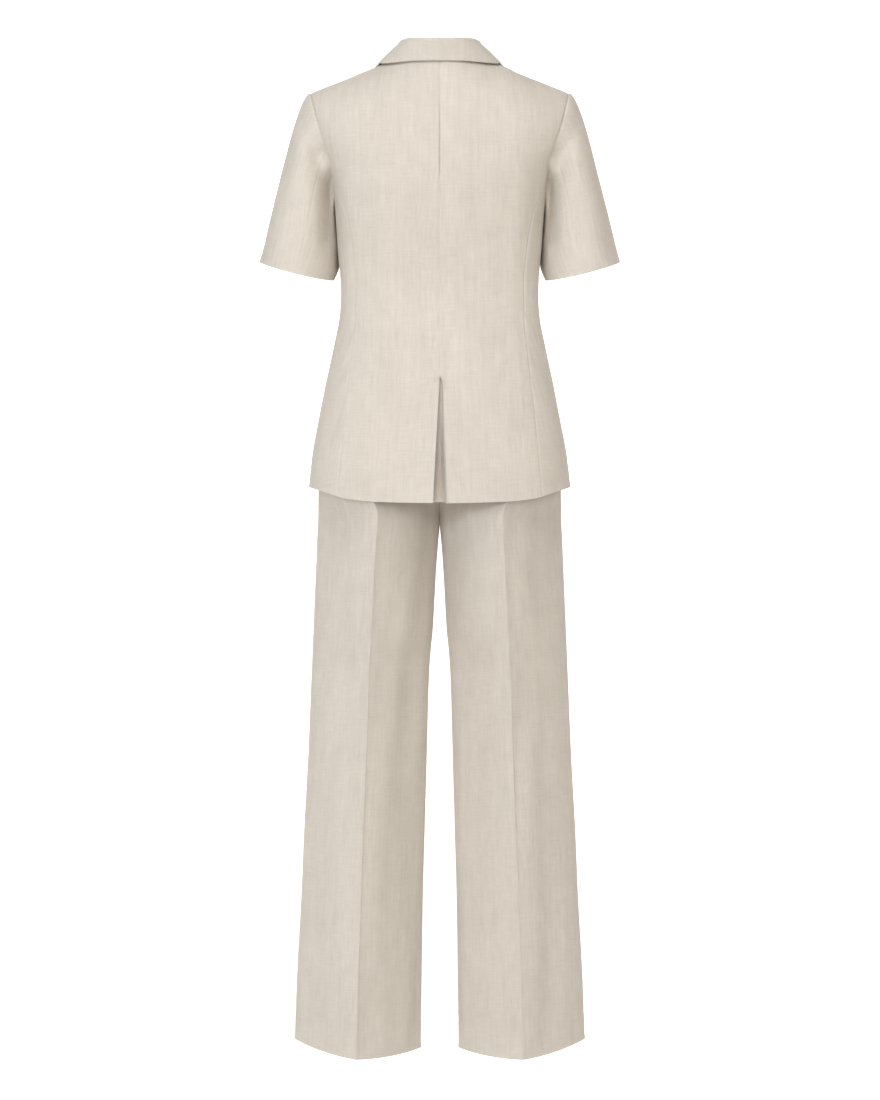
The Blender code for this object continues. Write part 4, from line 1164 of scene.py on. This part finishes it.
on_front = torso_point(0.0, BUTTON_Z, -1)
out = torso_normal(on_front, -1)
centre = on_front + out * (LAP_LIFT + 3 * SEAM)
add_button("front_button", centre, out, BUTTON_RADIUS, BUTTON_THICK)
top, low = (pelvis_point(np.array(1.0), np.array(z), -1) for z in (WAIST_TOP, WAIST_LOW))
out = unit(np.cross(top - low, np.array([-1.0, 0.0, 0.0])))
centre = (top + low) / 2 + out * SEAM
add_button("waist_button", centre, out, WAIST_BUTTON_RADIUS, WAIST_BUTTON_THICK)


# Studio

def studio_material():
    """Pale matt paint, which glows behind the suit so that the background stays white."""
    made, tree, shader = new_material("studio_white", STUDIO_SURFACE)
    place = tree.nodes.new("ShaderNodeTexCoord")
    split = tree.nodes.new("ShaderNodeSeparateXYZ")
    tree.links.new(place.outputs["Object"], split.inputs["Vector"])
    aside = tree.nodes.new("ShaderNodeMath")
    aside.operation = "ABSOLUTE"
    tree.links.new(split.outputs["X"], aside.inputs[0])
    glow = tree.nodes.new("ShaderNodeMath")
    glow.operation = "MULTIPLY"
    for k, (source, starts, full, most) in enumerate((
        (split.outputs["Y"], GLOW_STARTS, GLOW_FULL, SWEEP_GLOW),
        (aside.outputs["Value"], GLOW_ENDS, GLOW_WIDE, 1.0),
    )):
        ramp = tree.nodes.new("ShaderNodeMapRange")
        ramp.interpolation_type = "SMOOTHSTEP"
        set_inputs(ramp, {"From Min": starts, "From Max": full, "To Min": 0.0, "To Max": most})
        tree.links.new(source, ramp.inputs["Value"])
        tree.links.new(ramp.outputs["Result"], glow.inputs[k])
    tree.links.new(glow.outputs["Value"], shader.inputs["Emission Strength"])
    return made


def add_sweep():
    """A round pale floor that curves up into a wall all round, with the camera inside."""
    bend = np.linspace(0, math.pi / 2, SWEEP_BEND_STEPS + 1)
    radius = [0.0] + list(SWEEP_RADIUS - SWEEP_BEND + SWEEP_BEND * np.sin(bend)) + [SWEEP_RADIUS]
    height = [0.0] + list(SWEEP_BEND * (1 - np.cos(bend))) + [SWEEP_WALL]
    turns = np.linspace(0, 2 * math.pi, SWEEP_TURNS, endpoint=False)
    verts = [(0.0, 0.0, FLOOR_Z)]
    for r, h in zip(radius[1:], height[1:]):
        verts += [(r * math.cos(a), r * math.sin(a), FLOOR_Z + h) for a in turns]
    faces = []
    for k in range(SWEEP_TURNS):
        n = (k + 1) % SWEEP_TURNS
        faces.append((0, 1 + k, 1 + n))
        for ring in range(len(radius) - 2):
            low, high = 1 + ring * SWEEP_TURNS, 1 + (ring + 1) * SWEEP_TURNS
            faces.append((low + k, high + k, high + n, low + n))
    mesh = bpy.data.meshes.new("studio_sweep")
    mesh.from_pydata(verts, [], faces)
    mesh.shade_smooth()
    mesh.materials.append(studio_material())
    add_object("studio_sweep", mesh)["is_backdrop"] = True


def add_light(row):
    data = bpy.data.lights.new(row["name"], "AREA")
    data.size = row["size"]
    data.energy = row["power"]
    data.color = (row["red"], row["green"], row["blue"])
    light = add_object(row["name"], data)
    light.location = (row["x"], row["y"], row["z"])
    heading = Vector(LIGHT_TARGET) - light.location
    light.rotation_euler = heading.to_track_quat("-Z", "Y").to_euler()


FLOOR_Z = -1.600
SWEEP_RADIUS, SWEEP_BEND, SWEEP_WALL = 9.0, 2.0, 6.0
SWEEP_TURNS, SWEEP_BEND_STEPS = 96, 12
SWEEP_GLOW = 0.65
GLOW_STARTS, GLOW_FULL = 0.40, -0.60  # along Y
GLOW_ENDS, GLOW_WIDE = 4.2, 2.6  # to either side
WORLD_GLOW, WORLD_COLOUR = 0.50, (1.0, 0.94, 0.83, 1.0)
LIGHT_TARGET = (0.0, 0.0, -0.70)
LIGHT_NAMES = "name x y z size power red green blue"
LIGHT_ROWS = [
    ("left", 3.1, 4.7, 0.5, 1.4, 88.0, 0.78, 0.88, 1.00),
    ("front", 1.4, 5.7, -1.0, 1.4, 77.0, 1.00, 0.94, 0.86),
    ("right", -2.6, 5.2, 1.0, 1.6, 49.0, 1.00, 0.98, 0.95),
    ("top", 0.0, 2.2, 3.2, 2.4, 64.0, 0.92, 0.96, 1.00),
]
add_sweep()
for values in LIGHT_ROWS:
    add_light(dict(zip(LIGHT_NAMES.split(), values)))

world = bpy.data.worlds.new("studio")
world.use_nodes = True
set_inputs(world.node_tree.nodes["Background"], {"Color": WORLD_COLOUR, "Strength": WORLD_GLOW})
bpy.context.scene.world = world
bpy.context.scene.view_settings.view_transform = "Standard"

CAMERA_PLACE, FRAME_HEIGHT = (-0.0004, 5.0, -0.7085), 1.617
lens = bpy.data.cameras.new("camera")
lens.sensor_width = 36.0  # the frame's long side, which stands upright
lens.lens = lens.sensor_width * CAMERA_PLACE[1] / FRAME_HEIGHT
camera = add_object("camera", lens)
camera.location = CAMERA_PLACE
camera.rotation_euler = (math.pi / 2, 0.0, math.pi)
bpy.context.scene.camera = camera

{"cad": plain(CAD_BOX), "visual": plain(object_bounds())}
